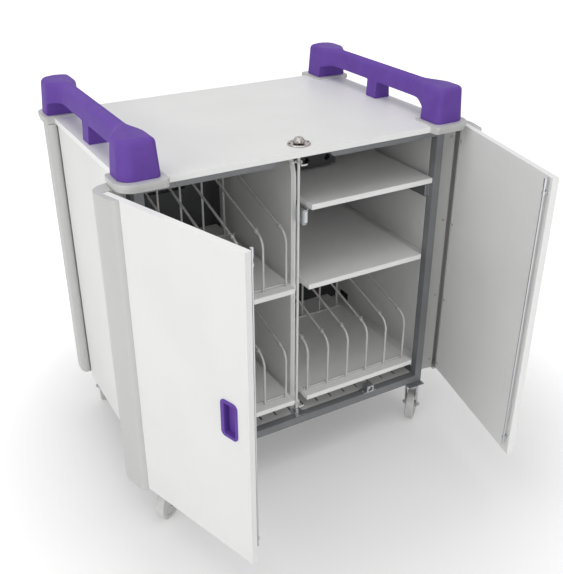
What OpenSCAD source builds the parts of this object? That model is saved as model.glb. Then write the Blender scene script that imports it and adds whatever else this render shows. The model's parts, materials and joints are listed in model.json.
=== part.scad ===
// Laptop charging cart: a steel frame on four casters with white boards,
// wrap-round doors, a pull-out shelf, racks for laptops and two grab handles.
// Right is +X, back is +Y, up is +Z, and the floor is at zero.
// The doors stand open at the front, as they do when the cart is loaded.

/* [Worktop] */
// Height of the worktop's upper face above the floor
worktop_z = 1040; // [980:5:1100]
// Width of the worktop
worktop_w = 975; // [940:5:1020]
// Depth of the worktop
worktop_d = 674; // [660:2:700]
// Thickness of the worktop board
worktop_t = 16; // [15:1:19]

/* [Frame] */
// Side of the square frame tube
tube = 25; // [22:1:27]
// Wall of the frame tube
tube_wall = 2; // [1.5:0.5:3]
// Distance from the worktop's side edge in to the frame
frame_inset_x = 22.5; // [20:0.5:25]
// Distance from the worktop's front edge in to the frame
frame_inset_y = 26; // [24:0.5:28]
// Width of the gap in the top front rail that the lock works in
lock_gap_w = 160; // [140:5:200]
// Rounding of the rail ends beside that gap
rail_end_r = 18; // [10:1:22]

/* [Boards] */
// Thickness of the side panels
side_t = 18; // [16:1:20]
// Thickness of the fixed shelves
shelf_t = 16; // [15:1:19]
// Thickness of the centre divider
divider_t = 15; // [12:1:18]
// Distance from the frame's front face back to the divider
divider_setback = 53; // [50:1:70]
// Rounding of the divider's upper front corner
divider_r = 90; // [60:5:140]
// Height of the middle shelves' upper face
mid_shelf_z = 631; // [600:1:660]
// Height of the low shelves' upper face
low_shelf_z = 246.5; // [235:0.5:270]
// Gap from the cart's centre line to each fixed shelf
shelf_gap = 22; // [21:1:28]
// Distance from the side panel in to each fixed shelf
shelf_side_gap = 44; // [30:1:60]
// Depth of the cable bay between the partition and the rear frame
rear_bay_d = 81; // [76:1:86]
// Thickness of the sheet steel partition and trays
sheet_t = 3; // [2:0.5:4]

/* [Doors] */
// Thickness of the door panels
door_t = 18; // [16:1:20]
// Angle at which the left front door stands open
left_open = 72; // [60:1:80]
// Angle at which the right front door stands open
right_open = 76.8; // [60:0.2:80]
// Gap between the frame's front face and a closed door
door_gap = 4.3; // [3.5:0.1:6]
// Height of the door panels' lower edge
door_z = 179; // [178.5:0.5:200]
// Gap between the two closed doors
door_split = 10; // [6:1:14]
// Radius of the door profile's outer corner
profile_r = 45; // [35:1:50]
// How far the profile stands proud of the door panel
profile_proud = 14.7; // [8:0.1:18]
// Wall of the door profile
profile_wall = 3; // [2:0.5:4]
// Distance from the pivot in to the profile's lip
profile_reach = 93; // [85:1:110]
// Radius of the profile's round end about the pivot
knuckle_r = 17; // [14:0.5:17]
// Radius of the pivot pins
pivot_r = 4; // [3:0.5:5]
// Radius of the keeper bars on the doors
bar_r = 3; // [2.5:0.5:3.5]

/* [Pull-out shelf] */
// Height of the pull-out shelf's upper face
pull_z = 873.5; // [840:0.5:900]
// Thickness of the pull-out shelf
pull_t = 16; // [15:1:19]
// Gap behind the pull-out shelf when it is pushed in
pull_gap = 6; // [3:1:60]
// How far the shelf stands pulled out
pull_out = 0; // [0:5:275]
// Height of the runner channels
runner_h = 43; // [38:1:48]

/* [Handles] */
// Height of the handle feet above the worktop
handle_h = 101; // [94:1:110]
// Height of the grab bar's upper face above the worktop
handle_bar_top = 104; // [96:1:110]
// Height of the gap under the grab bar
handle_gap_h = 50; // [42:1:54]
// Width of a handle foot
foot_w = 103; // [92:1:106]
// Length of a handle foot
foot_l = 75; // [68:1:82]
// Width of the grab bar
grab_w = 53; // [48:1:62]

/* [Casters] */
// Radius of the caster wheels
wheel_r = 52; // [46:1:54]
// Width of the caster wheels
wheel_w = 27; // [24:1:30]
// Trail of the wheel behind the swivel
trail = 22; // [16:1:34]

/* [Racks] */
// Number of wire dividers on a shelf
wires = 6; // [4:1:7]
// Distance from the shelf's inner edge to the first wire
wire_in = 16; // [14:1:24]
// Distance from the last wire to the shelf's outer edge
wire_out = 23; // [18:1:30]
// Radius of the wire
wire_r = 3.5; // [2.5:0.5:4]
// Height of the wire's front leg, to the corner of its bend
wire_front_h = 160; // [120:5:180]
// Rise of the wire towards the back, in degrees
wire_rise = 15; // [5:1:20]

/* [Hidden] */
$fn = 48;

// Colours
white_board = "#F2F2F1";
frame_grey = "#6A6C6E";
profile_grey = "#CCCCCA";
collar_grey = "#BFC0BC";
handle_purple = "#6F4FA8";
steel = "#B9BBBD";
dark_steel = "#3A3C3E";

// Overrun of every cut past the face that it opens
cut = 1;
// Gap at a seat between pieces that lie against each other
seat = 0.3;
// Radial clearance of a turning fit
fit = 0.05;

// Frame
fork_rise = 49;
caster_h = 2 * wheel_r + fork_rise;
frame_x = worktop_w / 2 - frame_inset_x;
frame_y = worktop_d / 2 - frame_inset_y;
frame_top = worktop_z - worktop_t;
rail_top = caster_h + tube;
rail_low = frame_top - tube;
inner_x = frame_x - tube;
inner_y = frame_y - tube;
bridge_t = 4;
bridge_back = 46;
bridge_lap = 40;

// Doors, measured in the closed pose of the right front door
knuckle_side = 28;
pivot_x = frame_x + knuckle_side;
pivot_y = -frame_y + 39;
door_in = -frame_y - door_gap;
door_out = door_in - door_t;
door_top = frame_top - 2;
lip_x = pivot_x - profile_reach;
tuck = 64;
back_lip = 3;
back_slope = 11;
back_flat = 23;
profile_x = pivot_x + knuckle_r;
profile_y = door_out - profile_proud;
corner_x = profile_x - profile_r;
corner_y = profile_y + profile_r;
cap_t = 7;
cap_rise = 0.8;
spigot_l = 10;
spigot_r = pivot_r + 4;
profile_z = door_z - 2;

// Shelves and bays
shelf_front = -frame_y + 2;
shelf_x1 = frame_x - shelf_side_gap;
partition_y = inner_y - rear_bay_d;
pull_d = partition_y - shelf_front - pull_gap;
divider_front = -frame_y + divider_setback;

// Lock
rod_y = -frame_y + 28;
rod_r = 4;
rotor_r = 31.6;
rotor_finger = 2.4;
rotor_t = 4;
rotor_boss_r = 10;
top_rotor_z = frame_top - 34;
low_rotor_z = rail_top + 39;
lock_turn = 34;
bar_in = 11;
bar_x = door_split / 2 + bar_in;
bar_off = 12;

// Front reach of the open right door, and the shift that centres the whole cart
swing = pivot_x - door_split / 2;
front_reach = pivot_y - swing * sin(right_open) + (door_out - pivot_y) * cos(right_open);
collar_over_x = 29.5;
collar_over_y = 29;
collar_x = worktop_w / 2 + collar_over_x;
collar_y = worktop_d / 2 + collar_over_y;
cart_y = -(front_reach + collar_y) / 2;

module placed() translate([0, cart_y, 0]) children();
module both_sides() { children(); mirror([1, 0, 0]) children(); }
module four_corners() { both_sides() { children(); mirror([0, 1, 0]) children(); } }

// A block from its lowest to its highest corner
module block(a, b) translate(a) cube([b[0] - a[0], b[1] - a[1], b[2] - a[2]]);

// A flat outline with four rounded corners, in the order left front, right front,
// right back, left back
module rounded(a, b, r) {
    polygon([[a[0] + r[0], a[1]], [b[0] - r[1], a[1]], [b[0], a[1] + r[1]], [b[0], b[1] - r[2]],
        [b[0] - r[2], b[1]], [a[0] + r[3], b[1]], [a[0], b[1] - r[3]], [a[0], a[1] + r[0]]]);
    translate([a[0] + r[0], a[1] + r[0]]) circle(r[0]);
    translate([b[0] - r[1], a[1] + r[1]]) circle(r[1]);
    translate([b[0] - r[2], b[1] - r[2]]) circle(r[2]);
    translate([a[0] + r[3], b[1] - r[3]]) circle(r[3]);
}

// Swings a closed front door's pieces to where they stand; side is 1 right or -1 left
module open_door(side) {
    turn = side > 0 ? right_open : -left_open;
    placed() translate([side * pivot_x, pivot_y, 0]) rotate([0, 0, turn])
        translate([-side * pivot_x, -pivot_y, 0]) scale_side(side) children();
}
// Puts a front door's pieces at the back, shut
module rear_door(side) placed() mirror([0, 1, 0]) scale_side(side) children();
module scale_side(side) { if (side > 0) children(); else mirror([1, 0, 0]) children(); }

// Frame
module ring_outer(y0, gap) {
    both_sides() {
        block([inner_x, y0, caster_h], [frame_x, y0 + tube, frame_top]);
        block([gap, y0, rail_low], [frame_x, y0 + tube, frame_top]);
    }
    block([-frame_x, y0, caster_h], [frame_x, y0 + tube, rail_top]);
}
module ring_bore(y0, gap) {
    w = tube_wall;
    both_sides() {
        block([inner_x + w, y0 + w, caster_h - cut], [frame_x - w, y0 + tube - w, frame_top + cut]);
        block([gap, y0 + w, rail_low + w], [frame_x - tube / 2, y0 + tube - w, frame_top - w]);
    }
    block([-inner_x - w - cut, y0 + w, caster_h + w], [inner_x + w + cut, y0 + tube - w, rail_top - w]);
}
module front_frame() {
    gap = lock_gap_w / 2;
    color(frame_grey) placed() {
        difference() {
            ring_outer(-frame_y, gap);
            ring_bore(-frame_y, gap + 2 * tube_wall);
            both_sides() rail_end(gap);
        }
        difference() {
            block([-gap - bridge_lap, -inner_y, frame_top - bridge_t],
                [gap + bridge_lap, -inner_y + bridge_back, frame_top]);
            lock_bore(rod_r + seat);
        }
    }
}
// The rounded lower corner where the top rail stops beside the lock
module rail_end(gap) {
    difference() {
        block([gap - cut, -frame_y - cut, rail_low - cut],
            [gap + rail_end_r, -inner_y + cut, rail_low + rail_end_r]);
        translate([gap + rail_end_r, -frame_y - 2 * cut, rail_low + rail_end_r])
            rotate([-90, 0, 0]) cylinder(r = rail_end_r, h = tube + 4 * cut);
    }
}
module lock_bore(r) translate([0, rod_y, caster_h]) cylinder(r = r, h = worktop_z);
module rear_frame() {
    color(frame_grey) placed() difference() {
        ring_outer(inner_y, 0);
        ring_bore(inner_y, 0);
    }
}
module side_rails() {
    w = tube_wall;
    color(frame_grey) placed() both_sides() for (z = [caster_h, rail_low]) difference() {
        block([inner_x, -inner_y, z], [frame_x, inner_y, z + tube]);
        block([inner_x + w, -inner_y - cut, z + w], [frame_x - w, inner_y + cut, z + tube - w]);
    }
}

// Worktop, with a notch at each corner for the collar
notch_w = 87;
notch_d = 66.5;
notch_x = worktop_w / 2 - notch_w;
notch_y = worktop_d / 2 - notch_d;
module worktop() {
    color(white_board) placed() difference() {
        block([-worktop_w / 2, -worktop_d / 2, frame_top], [worktop_w / 2, worktop_d / 2, worktop_z]);
        four_corners() block([notch_x, notch_y, frame_top - cut],
            [worktop_w / 2 + cut, worktop_d / 2 + cut, worktop_z + cut]);
        lock_bore(rod_r + 2 * seat);
    }
}

// Side panels between the corner profiles
side_gap = 2;
side_y = -pivot_y - knuckle_r - side_gap;
inlet_y = 160;
inlet_z = 250;
inlet_w = 50;
inlet_h = 30;
module side_panels() {
    color(white_board) placed() difference() {
        both_sides() block([frame_x, -side_y, caster_h + side_gap],
            [frame_x + side_t, side_y, frame_top - side_gap]);
        block([frame_x - cut, inlet_y - inlet_w / 2, inlet_z - inlet_h / 2],
            [frame_x + side_t + cut, inlet_y + inlet_w / 2, inlet_z + inlet_h / 2]);
    }
}

// Corner collars: a flange on the worktop and a stepped lip around its corner
flange_h = 5;
lip_h = 11;
lip_step = 3;
collar_r = 46;
collar_small_r = 12;
collar_lap = 10.5;
collar_in_x = notch_x - collar_lap;
collar_in_y = notch_y - collar_lap;
module collar_outline(shrink) {
    rounded([collar_in_x, collar_in_y], [collar_x - shrink, collar_y - shrink],
        [collar_small_r, collar_small_r, collar_r - shrink, collar_small_r]);
}
module collar_skirt(shrink) {
    difference() {
        collar_outline(shrink);
        difference() {
            square([worktop_w / 2 + seat, worktop_d / 2 + seat]);
            translate([notch_x + seat, notch_y + seat]) square([worktop_w, worktop_d]);
        }
    }
}
module corner_collars() {
    color(collar_grey) placed() four_corners() difference() {
        union() {
            translate([0, 0, worktop_z]) linear_extrude(flange_h) collar_outline(0);
            translate([0, 0, worktop_z - lip_h + flange_h])
                linear_extrude(lip_h - flange_h) collar_skirt(0);
            translate([0, 0, frame_top])
                linear_extrude(worktop_z - lip_h + flange_h - frame_top) collar_skirt(lip_step);
        }
        translate([pivot_x, -pivot_y, frame_top - cut]) cylinder(r = pivot_r + fit, h = pin_depth + cut);
    }
}

// Grab handles, lofted from rounded sections
foot_in_x = 11;
foot_in_y = 19;
grab_in = 29;
foot_x1 = collar_x - foot_in_x;
foot_x0 = foot_x1 - foot_w;
foot_y1 = collar_y - foot_in_y;
foot_y0 = foot_y1 - foot_l;
grab_x1 = foot_x1 - grab_in;
grab_x0 = grab_x1 - grab_w;
foot_outer_r = 34;
foot_inner_r = 14;
foot_edge_r = 13;
bar_outer_r = 24;
bar_inner_r = 12;
handle_under_r = 4;
leg_half = 24;
leg_fillet_r = 8;
flare_out = 10;
flare_in = 65;
arch_l = 80;
arch_h = 18;
draft = 7;
crown = 2;
step = 0.5;
function clamp01(t) = max(0, min(1, t));
function ease(t) = let (c = clamp01(t)) c * c * (3 - 2 * c);
function mix(a, b, t) = a + (b - a) * t;
// How far a rounded corner of radius r has drawn in at the distance d from the end
function inset(d, r) = d < r ? r - sqrt(max(0, r * r - (r - d) * (r - d))) : 0;
function arch(y) = arch_h * inset(1 - clamp01((y - foot_y0 + arch_l) / arch_l), 1);
function under(y) = y >= foot_y0 ? flange_h : y <= leg_half ? 0
    : handle_gap_h - arch(y) - inset(y - leg_half, leg_fillet_r);
function flare(y) = ease((y - foot_y0 + flare_in) / (flare_in + flare_out));
function lean(z) = draft * z / handle_h;
// An arc of a section from the angle a0 through 90 degrees, about (x, z)
function corner(x, y, z, r, a0, steps) = [for (i = [0:steps]) let (a = a0 + 90 * i / steps)
    [x + r * cos(a), y, z + r * sin(a)]];
// One ring of the loft at the distance y from the cart's centre
corner_steps = 5;
under_steps = 2;
function ring(y) = let (
    d = foot_y1 - y, f = flare(y), u = handle_under_r,
    ro = mix(bar_outer_r, foot_edge_r, f), ri = mix(bar_inner_r, foot_edge_r, f),
    x0 = mix(grab_x0, foot_x0, f) + inset(d, foot_inner_r),
    x1 = mix(grab_x1, foot_x1, f) - inset(d, foot_outer_r),
    z0 = under(y), z1 = mix(handle_bar_top, handle_h, f) - inset(d, foot_edge_r))
    concat(
        corner(x0 + lean(z0) + u, y, z0 + u, u, 180, under_steps),
        corner(x1 - lean(z0) - u, y, z0 + u, u, 270, under_steps),
        corner(x1 - lean(z1) - ro, y, z1 - ro, ro, 0, corner_steps),
        [[(x0 + x1 + ri - ro) / 2, y, z1 + crown]],
        corner(x0 + lean(z1) + ri, y, z1 - ri, ri, 90, corner_steps));
end_steps = 6;
flare_steps = 8;
fillet_steps = 3;
half_stations = concat(
    [0, leg_half, leg_half + step],
    [for (i = [1:fillet_steps]) leg_half + leg_fillet_r * (1 - cos(90 * i / fillet_steps))],
    [for (i = [0:flare_steps]) foot_y0 - arch_l + (arch_l - step) * i / flare_steps],
    [foot_y0, foot_y0 + flare_out],
    [for (i = [end_steps:-1:0]) foot_y1 - foot_outer_r * (1 - cos(90 * i / end_steps))]);
last = len(half_stations) - 1;
stations = concat([for (i = [last:-1:1]) -half_stations[i]], half_stations);
function mirrored_ring(y) = [for (p = ring(abs(y))) [p[0], y, p[2]]];
module loft(rings) {
    n = len(rings[0]);
    m = len(rings);
    polyhedron(points = [for (r = rings, p = r) p], faces = concat(
        [[for (i = [n - 1:-1:0]) i]],
        [[for (i = [0:n - 1]) (m - 1) * n + i]],
        [for (j = [0:m - 2], i = [0:n - 1], t = [0, 1]) let (k = (i + 1) % n)
            t == 0 ? [j * n + i, (j + 1) * n + k, (j + 1) * n + i]
                : [j * n + i, j * n + k, (j + 1) * n + k]]));
}
module handle_right() color(handle_purple) placed() translate([0, 0, worktop_z])
    loft([for (y = stations) mirrored_ring(y)]);
module handle_left() color(handle_purple) placed() translate([0, 0, worktop_z])
    mirror([1, 0, 0]) loft([for (y = stations) mirrored_ring(y)]);

// Centre divider, cut back in a curve at its upper front corner
module centre_divider() {
    top = frame_top - rail_top;
    color(white_board) placed() translate([divider_t / 2, 0, 0]) rotate([0, -90, 0])
        linear_extrude(divider_t) difference() {
            union() {
                translate([rail_top, divider_front]) square([top - divider_r, partition_y - divider_front]);
                translate([frame_top - divider_r - cut, divider_front + divider_r])
                    square([divider_r + cut, partition_y - divider_front - divider_r]);
                translate([frame_top - divider_r, divider_front + divider_r]) circle(divider_r, $fn = 96);
            }
            translate([frame_top, divider_front]) square([divider_r, divider_r * 2]);
        }
}

// Fixed shelves and the steel angles that carry them
module shelf_pair(z) both_sides()
    block([shelf_gap, shelf_front, z - shelf_t], [shelf_x1, partition_y, z]);
module mid_shelves() color(white_board) placed() shelf_pair(mid_shelf_z);
module low_shelves() color(white_board) placed() shelf_pair(low_shelf_z);
angle_t = 2.5;
angle_leg = 22;
angle_lap = 20;
strut_y = 135;
module shelf_brackets() {
    color(steel) placed() both_sides() for (z = [mid_shelf_z - shelf_t, low_shelf_z - shelf_t]) {
        block([divider_t / 2, divider_front, z - angle_leg], [divider_t / 2 + angle_t, partition_y, z]);
        block([divider_t / 2, divider_front, z - angle_t], [shelf_gap + angle_lap, partition_y, z]);
        block([frame_x - angle_t, -inner_y, z - angle_leg], [frame_x, partition_y, z]);
        block([shelf_x1 - angle_lap, -inner_y, z - angle_t], [frame_x, partition_y, z]);
    }
    // The strut that holds the right runner's rear end off the side panel
    color(steel) placed()
        block([inner_x, strut_y, runner_z], [frame_x, strut_y + angle_leg, runner_z + runner_h]);
}

// Laptop racks: bent wire dividers on two cross wires
wire_first = shelf_gap + wire_in;
wire_pitch = (shelf_x1 - wire_out - wire_first) / (wires - 1);
wire_front = 26;
wire_back = 95;
wire_y0 = shelf_front + wire_front;
wire_y1 = partition_y - wire_back;
cross_over = 10;
front_bend_r = 40;
rear_bend_r = 30;
wire_sides = 12;
bend_steps = 5;
wire_run = wire_y1 - wire_y0;
wire_rear_h = wire_front_h + wire_run * tan(wire_rise);
front_bend_z = wire_front_h - front_bend_r * tan((90 - wire_rise) / 2);
rear_bend_z = wire_rear_h - rear_bend_r * tan((90 + wire_rise) / 2);
// The wire's path as distance back, height and direction
function bend_path(y, z, r, t0, t1) = [for (i = [0:bend_steps])
    let (t = t0 + (t1 - t0) * i / bend_steps) [y - r * sin(t), z + r * cos(t), t]];
wire_path = concat([[0, 0, 90]], bend_path(front_bend_r, front_bend_z, front_bend_r, 90, wire_rise),
    bend_path(wire_run - rear_bend_r, rear_bend_z, rear_bend_r, wire_rise, -90), [[wire_run, 0, -90]]);
function wire_ring(p) = [for (i = [0:wire_sides - 1]) let (a = 360 * i / wire_sides)
    [wire_r * cos(a), p[0] - wire_r * sin(a) * sin(p[2]), p[1] + wire_r * sin(a) * cos(p[2])]];
module wire_divider() loft([for (p = wire_path) wire_ring(p)]);
module rack(side, z) {
    color(steel) placed() translate([side * wire_first, wire_y0, z]) {
        for (i = [0:wires - 1]) translate([side * i * wire_pitch, 0, 0]) wire_divider();
        for (y = [2 * wire_r + seat, wire_run - 2 * wire_r - seat])
            translate([-side * cross_over, y, wire_r + seat]) rotate([0, side * 90, 0])
                cylinder(r = wire_r, h = wire_pitch * (wires - 1) + 2 * cross_over);
    }
}
module rack_mid_left() rack(-1, mid_shelf_z);
module rack_low_left() rack(-1, low_shelf_z);
module rack_low_right() rack(1, low_shelf_z);

// Rear partition: a cable slot to each rack's bay, two round holes to the other
slot_in = 98;
slot_x0 = shelf_gap + slot_in;
slot_len = 160;
slot_h = 34;
low_slot_up = 300;
mid_slot_up = 160;
slot_zs = [low_shelf_z + low_slot_up, mid_shelf_z + mid_slot_up];
hole_in = 35;
hole_pitch = 80;
hole_xs = [shelf_x1 - hole_in - hole_pitch, shelf_x1 - hole_in];
hole_up = 131;
hole_z = mid_shelf_z + hole_up;
hole_r = 18;
slot_end_r = slot_h / 2 - seat;
module cable_slot(side, z) translate([side * (slot_x0 + slot_len / 2), partition_y - cut, z])
    rotate([-90, 0, 0]) linear_extrude(sheet_t + 2 * cut)
        rounded([-slot_len / 2, -slot_h / 2], [slot_len / 2, slot_h / 2], [1, 1, 1, 1] * slot_end_r);
module rear_partition() {
    color(dark_steel) placed() difference() {
        block([-frame_x, partition_y, rail_top], [frame_x, partition_y + sheet_t, rail_low]);
        for (side = [-1, 1]) cable_slot(side, slot_zs[0]);
        cable_slot(-1, slot_zs[1]);
        for (x = hole_xs) translate([x, partition_y - cut, hole_z]) rotate([-90, 0, 0])
            cylinder(r = hole_r, h = sheet_t + 2 * cut);
    }
}
// Trays for the mains adapters, behind the partition
tray_clear = 8;
tray_d = rear_bay_d - sheet_t - tray_clear;
tray_lip = 22;
tray_in = 20;
low_tray_up = 120;
mid_tray_down = 60;
tray_zs = [low_shelf_z + low_tray_up, mid_shelf_z - mid_tray_down];
module adapter_trays() {
    y0 = partition_y + sheet_t;
    color(steel) placed() both_sides() for (z = tray_zs) {
        block([tray_in, y0, z], [inner_x - tray_in, y0 + tray_d, z + sheet_t]);
        block([tray_in, y0 + tray_d - sheet_t, z], [inner_x - tray_in, y0 + tray_d, z + tray_lip]);
        block([tray_in, y0, z], [inner_x - tray_in, y0 + sheet_t, z + tray_lip]);
    }
}
// Slotted base plate inside the bottom rails
slot_pitch = 50;
slot_off = -12;
vent_w = 5;
vent_edge = 28;
vents = floor((inner_x - vent_edge) / slot_pitch);
vent_rows = 3;
vent_gap = 18;
module base_plate() {
    row = (2 * inner_y - vent_gap) / vent_rows;
    color(white_board) placed() difference() {
        block([-inner_x, -inner_y, rail_top - sheet_t], [inner_x, inner_y, rail_top]);
        for (k = [-vents:vents], j = [0:vent_rows - 1])
            translate([k * slot_pitch + slot_off - vent_w / 2, -inner_y + vent_gap + j * row, caster_h])
                cube([vent_w, row - vent_gap, tube + cut]);
    }
}

// Telescopic runners of the pull-out shelf, drawn for a wall at zero with u away from it
race_t = 1.5;
channel_w = 13;
race_gap = 0.5;
slide_rise = 2.5;
slide_flange = 28;
runner_z = pull_z - pull_t - runner_h - slide_rise;
runner_l = 480;
// The runners start behind the keeper bar of the closed door
bar_clear = 5;
runner_y0 = door_in + bar_off + bar_r + bar_clear;
pull_in = 20.5;
pull_side_gap = 2;
pull_x0 = divider_t / 2 + pull_in;
pull_x1 = inner_x - pull_side_gap;
module at_runners(dy) {
    placed() translate([divider_t / 2, runner_y0 + dy, runner_z]) children();
    placed() translate([inner_x, runner_y0 + dy, runner_z]) mirror([1, 0, 0]) children();
}
module channel(u, lift) {
    block([u, 0, lift], [u + race_t, runner_l, runner_h - lift]);
    block([u, 0, lift], [channel_w - u / 2, runner_l, lift + race_t]);
    block([u, 0, runner_h - lift - race_t], [channel_w - u / 2, runner_l, runner_h - lift]);
}
module runner_channels() color(steel) at_runners(0) channel(0, 0);
module runner_slides() color(steel) at_runners(-pull_out / 2)
    channel(race_t + race_gap, race_t + race_gap);
module shelf_slides() {
    u = 2 * (race_t + race_gap) + race_gap;
    v = 2 * (race_t + race_gap) + race_gap;
    w = channel_w + race_gap;
    color(steel) at_runners(-pull_out) {
        block([u, 0, v], [w, runner_l, runner_h - v]);
        block([w, 0, v], [w + race_t, runner_l, runner_h + slide_rise]);
        block([w, 0, runner_h + slide_rise - race_t], [w + slide_flange, runner_l, runner_h + slide_rise]);
    }
}
module pull_out_shelf() color(white_board) placed()
    block([pull_x0, shelf_front - pull_out, pull_z - pull_t],
        [pull_x1, shelf_front - pull_out + pull_d, pull_z]);

// Lock on the worktop: escutcheon, knob, and the rod with its two rotors
esc_r = 31;
esc_h = 4;
esc_edge = 2;
esc_lip = 7;
stem_r = 5.5;
collar_w = 4;
knob_r = 17;
knob_top_r = 10;
knob_h = 14;
knob_edge = 2;
flute_r = 6;
flute_off = 4;
key_w = 1.6;
key_l = 8;
key_depth = 5;
module lock_escutcheon() color(steel) placed() translate([0, rod_y, worktop_z]) rotate_extrude()
    polygon([[stem_r + fit, 0], [esc_r, 0], [esc_r, esc_edge], [esc_r - esc_edge, esc_h],
        [esc_r - esc_lip, esc_h], [esc_r - esc_lip - esc_edge, esc_edge],
        [stem_r + collar_w + esc_edge / 2, esc_edge], [stem_r + collar_w, esc_h - seat],
        [stem_r + fit, esc_h - seat]]);
module lock_knob() color(steel) placed() translate([0, rod_y, worktop_z]) difference() {
    union() {
        translate([0, 0, seat]) cylinder(r = stem_r, h = esc_h);
        translate([0, 0, esc_h]) rotate_extrude()
            polygon([[0, 0], [knob_r - knob_edge, 0], [knob_r, knob_edge], [knob_r, 2 * knob_edge],
                [knob_top_r + knob_edge / 2, knob_h - knob_edge / 2], [knob_top_r, knob_h], [0, knob_h]]);
    }
    for (i = [0:7]) rotate([0, 0, 45 * i]) translate([knob_r + flute_off, 0, esc_h - cut])
        cylinder(r = flute_r, h = knob_h + 2 * cut);
    translate([-key_w / 2, -key_l / 2, esc_h + knob_h - key_depth]) cube([key_w, key_l, key_depth + cut]);
}
// A rotor plate: its two curved fingers close over the doors' keeper bars
bar_y = door_in + bar_off;
bar_angle = atan2(rod_y - bar_y, bar_x);
finger_half = 13;
arm_half = 5;
module wedge(a0, a1) polygon([[0, 0], for (a = [a0, (a0 + a1) / 2, a1]) 2 * rotor_r * [cos(a), sin(a)]]);
module finger(a, arm_a) {
    intersection() {
        difference() { circle(rotor_r); circle(rotor_r - rotor_finger); }
        wedge(min(a - finger_half, arm_a - arm_half), max(a + finger_half, arm_a + arm_half));
    }
    intersection() { circle(rotor_r); wedge(arm_a - arm_half, arm_a + arm_half); }
}
module rotor() linear_extrude(rotor_t) rotate([0, 0, -lock_turn]) {
    circle(rotor_boss_r);
    finger(-bar_angle, -bar_angle - finger_half - arm_half);
    finger(180 + bar_angle, 180 + bar_angle - finger_half - arm_half);
}
rod_up = 4;
module lock_rod() color(steel) placed() translate([0, rod_y, 0]) {
    translate([0, 0, rail_top + rod_up]) cylinder(r = rod_r, h = worktop_z + seat - rail_top - rod_up);
    translate([0, 0, top_rotor_z]) rotor();
    translate([0, 0, low_rotor_z]) rotor();
}
guide_w = 36;
guide_t = 3;
guide_boss_r = 9;
guide_boss_h = 16;
module rod_guide() color(steel) placed() difference() {
    union() {
        block([-guide_w / 2, -frame_y + guide_t, rail_top], [guide_w / 2, rod_y, rail_top + guide_t]);
        translate([0, rod_y, rail_top]) cylinder(r = guide_w / 2, h = guide_t);
        translate([0, rod_y, rail_top]) cylinder(r = guide_boss_r, h = guide_boss_h);
    }
    lock_bore(rod_r + fit);
}
// Magnetic catches on the bottom rail: a foot plate and a housing with a round mouth
catch_x = 258;
catch_w = 26;
catch_h = 24;
catch_d = 27;
catch_proud = 2;
catch_foot = 12;
catch_foot_t = 2.5;
catch_mouth_r = 8;
catch_mouth_d = 11;
catch_core_r = 4;
module door_catches() color(steel) placed() both_sides()
    translate([catch_x, -frame_y - catch_proud, rail_top]) {
    block([-catch_w / 2 - catch_foot, catch_proud, 0], [catch_w / 2 + catch_foot, catch_d, catch_foot_t]);
    difference() {
        block([-catch_w / 2, 0, 0], [catch_w / 2, catch_d, catch_h]);
        translate([0, -cut, catch_h / 2]) rotate([-90, 0, 0]) difference() {
            cylinder(r = catch_mouth_r, h = catch_mouth_d + cut);
            translate([0, 0, catch_mouth_d / 2]) cylinder(r = catch_core_r, h = catch_mouth_d + cut);
        }
    }
}

// Pivots: pins in the collars above, and brackets with shouldered pins below
pin_depth = 14;
pin_l = 16;
bracket_t = 4;
shoulder_r = 8;
bracket_w = 24;
bracket_leg = 18;
bracket_gap = 2;
bracket_z = profile_z - bracket_gap - bracket_t;
module pivot_pins() color(steel) placed() four_corners() {
    translate([pivot_x, -pivot_y, frame_top - pin_l]) cylinder(r = pivot_r, h = pin_l + pin_depth);
    translate([pivot_x, -pivot_y, bracket_z]) {
        cylinder(r = pivot_r, h = bracket_t + bracket_gap + pin_l);
        cylinder(r = shoulder_r, h = bracket_t + bracket_gap - seat);
        cylinder(r = bracket_w / 2, h = bracket_t);
    }
    translate([frame_x, -pivot_y - bracket_w / 2, bracket_z]) {
        cube([knuckle_side, bracket_w, bracket_t]);
        translate([0, 0, -bracket_leg]) cube([bracket_t, bracket_w, bracket_leg + bracket_t]);
    }
}

// Doors, drawn shut on the right
nose_off = 0.7;
nose_r = profile_proud - nose_off;
board_edge = lip_x + tuck;
module profile_outline(wall) {
    difference() {
        union() {
            polygon([[lip_x + wall, door_out - wall], [lip_x + nose_r, profile_y + wall],
                [corner_x, profile_y + wall], [profile_x - wall, corner_y], [profile_x - wall, pivot_y],
                [pivot_x - knuckle_r + wall, pivot_y],
                [pivot_x - knuckle_r + wall, door_in + back_lip + back_slope],
                [pivot_x - back_flat + wall, door_in + back_lip - wall],
                [board_edge + wall, door_in + back_lip - wall], [board_edge + wall, door_out - wall]]);
            intersection() {
                translate([lip_x + nose_r, door_out - nose_off]) circle(nose_r - wall);
                translate([lip_x - cut, profile_y - cut]) square([nose_r + cut, nose_r + seat + cut]);
            }
            intersection() {
                translate([corner_x, corner_y]) circle(profile_r - wall, $fn = 72);
                translate([corner_x, profile_y - cut]) square([profile_r + cut, profile_r + cut]);
            }
            translate([pivot_x, pivot_y]) circle(knuckle_r - wall);
        }
        panel_slot();
    }
}
module panel_slot() translate([lip_x - cut, door_out]) square([tuck + cut, door_t]);
module profile_section() difference() {
    union() {
        difference() { profile_outline(0); profile_outline(profile_wall); }
        translate([pivot_x, pivot_y]) circle(knuckle_r);
    }
    translate([pivot_x, pivot_y]) circle(spigot_r + seat);
    panel_slot();
}
cap_z = door_top + cap_rise;
module door_profile() translate([0, 0, profile_z + cap_t])
    linear_extrude(cap_z - profile_z - 2 * cap_t) profile_section();
module cap_plate() linear_extrude(cap_t) difference() {
    profile_outline(0);
    translate([pivot_x, pivot_y]) circle(pivot_r + fit);
}
module cap_spigot() linear_extrude(spigot_l) difference() {
    translate([pivot_x, pivot_y]) circle(spigot_r);
    translate([pivot_x, pivot_y]) circle(pivot_r + fit);
}
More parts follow.
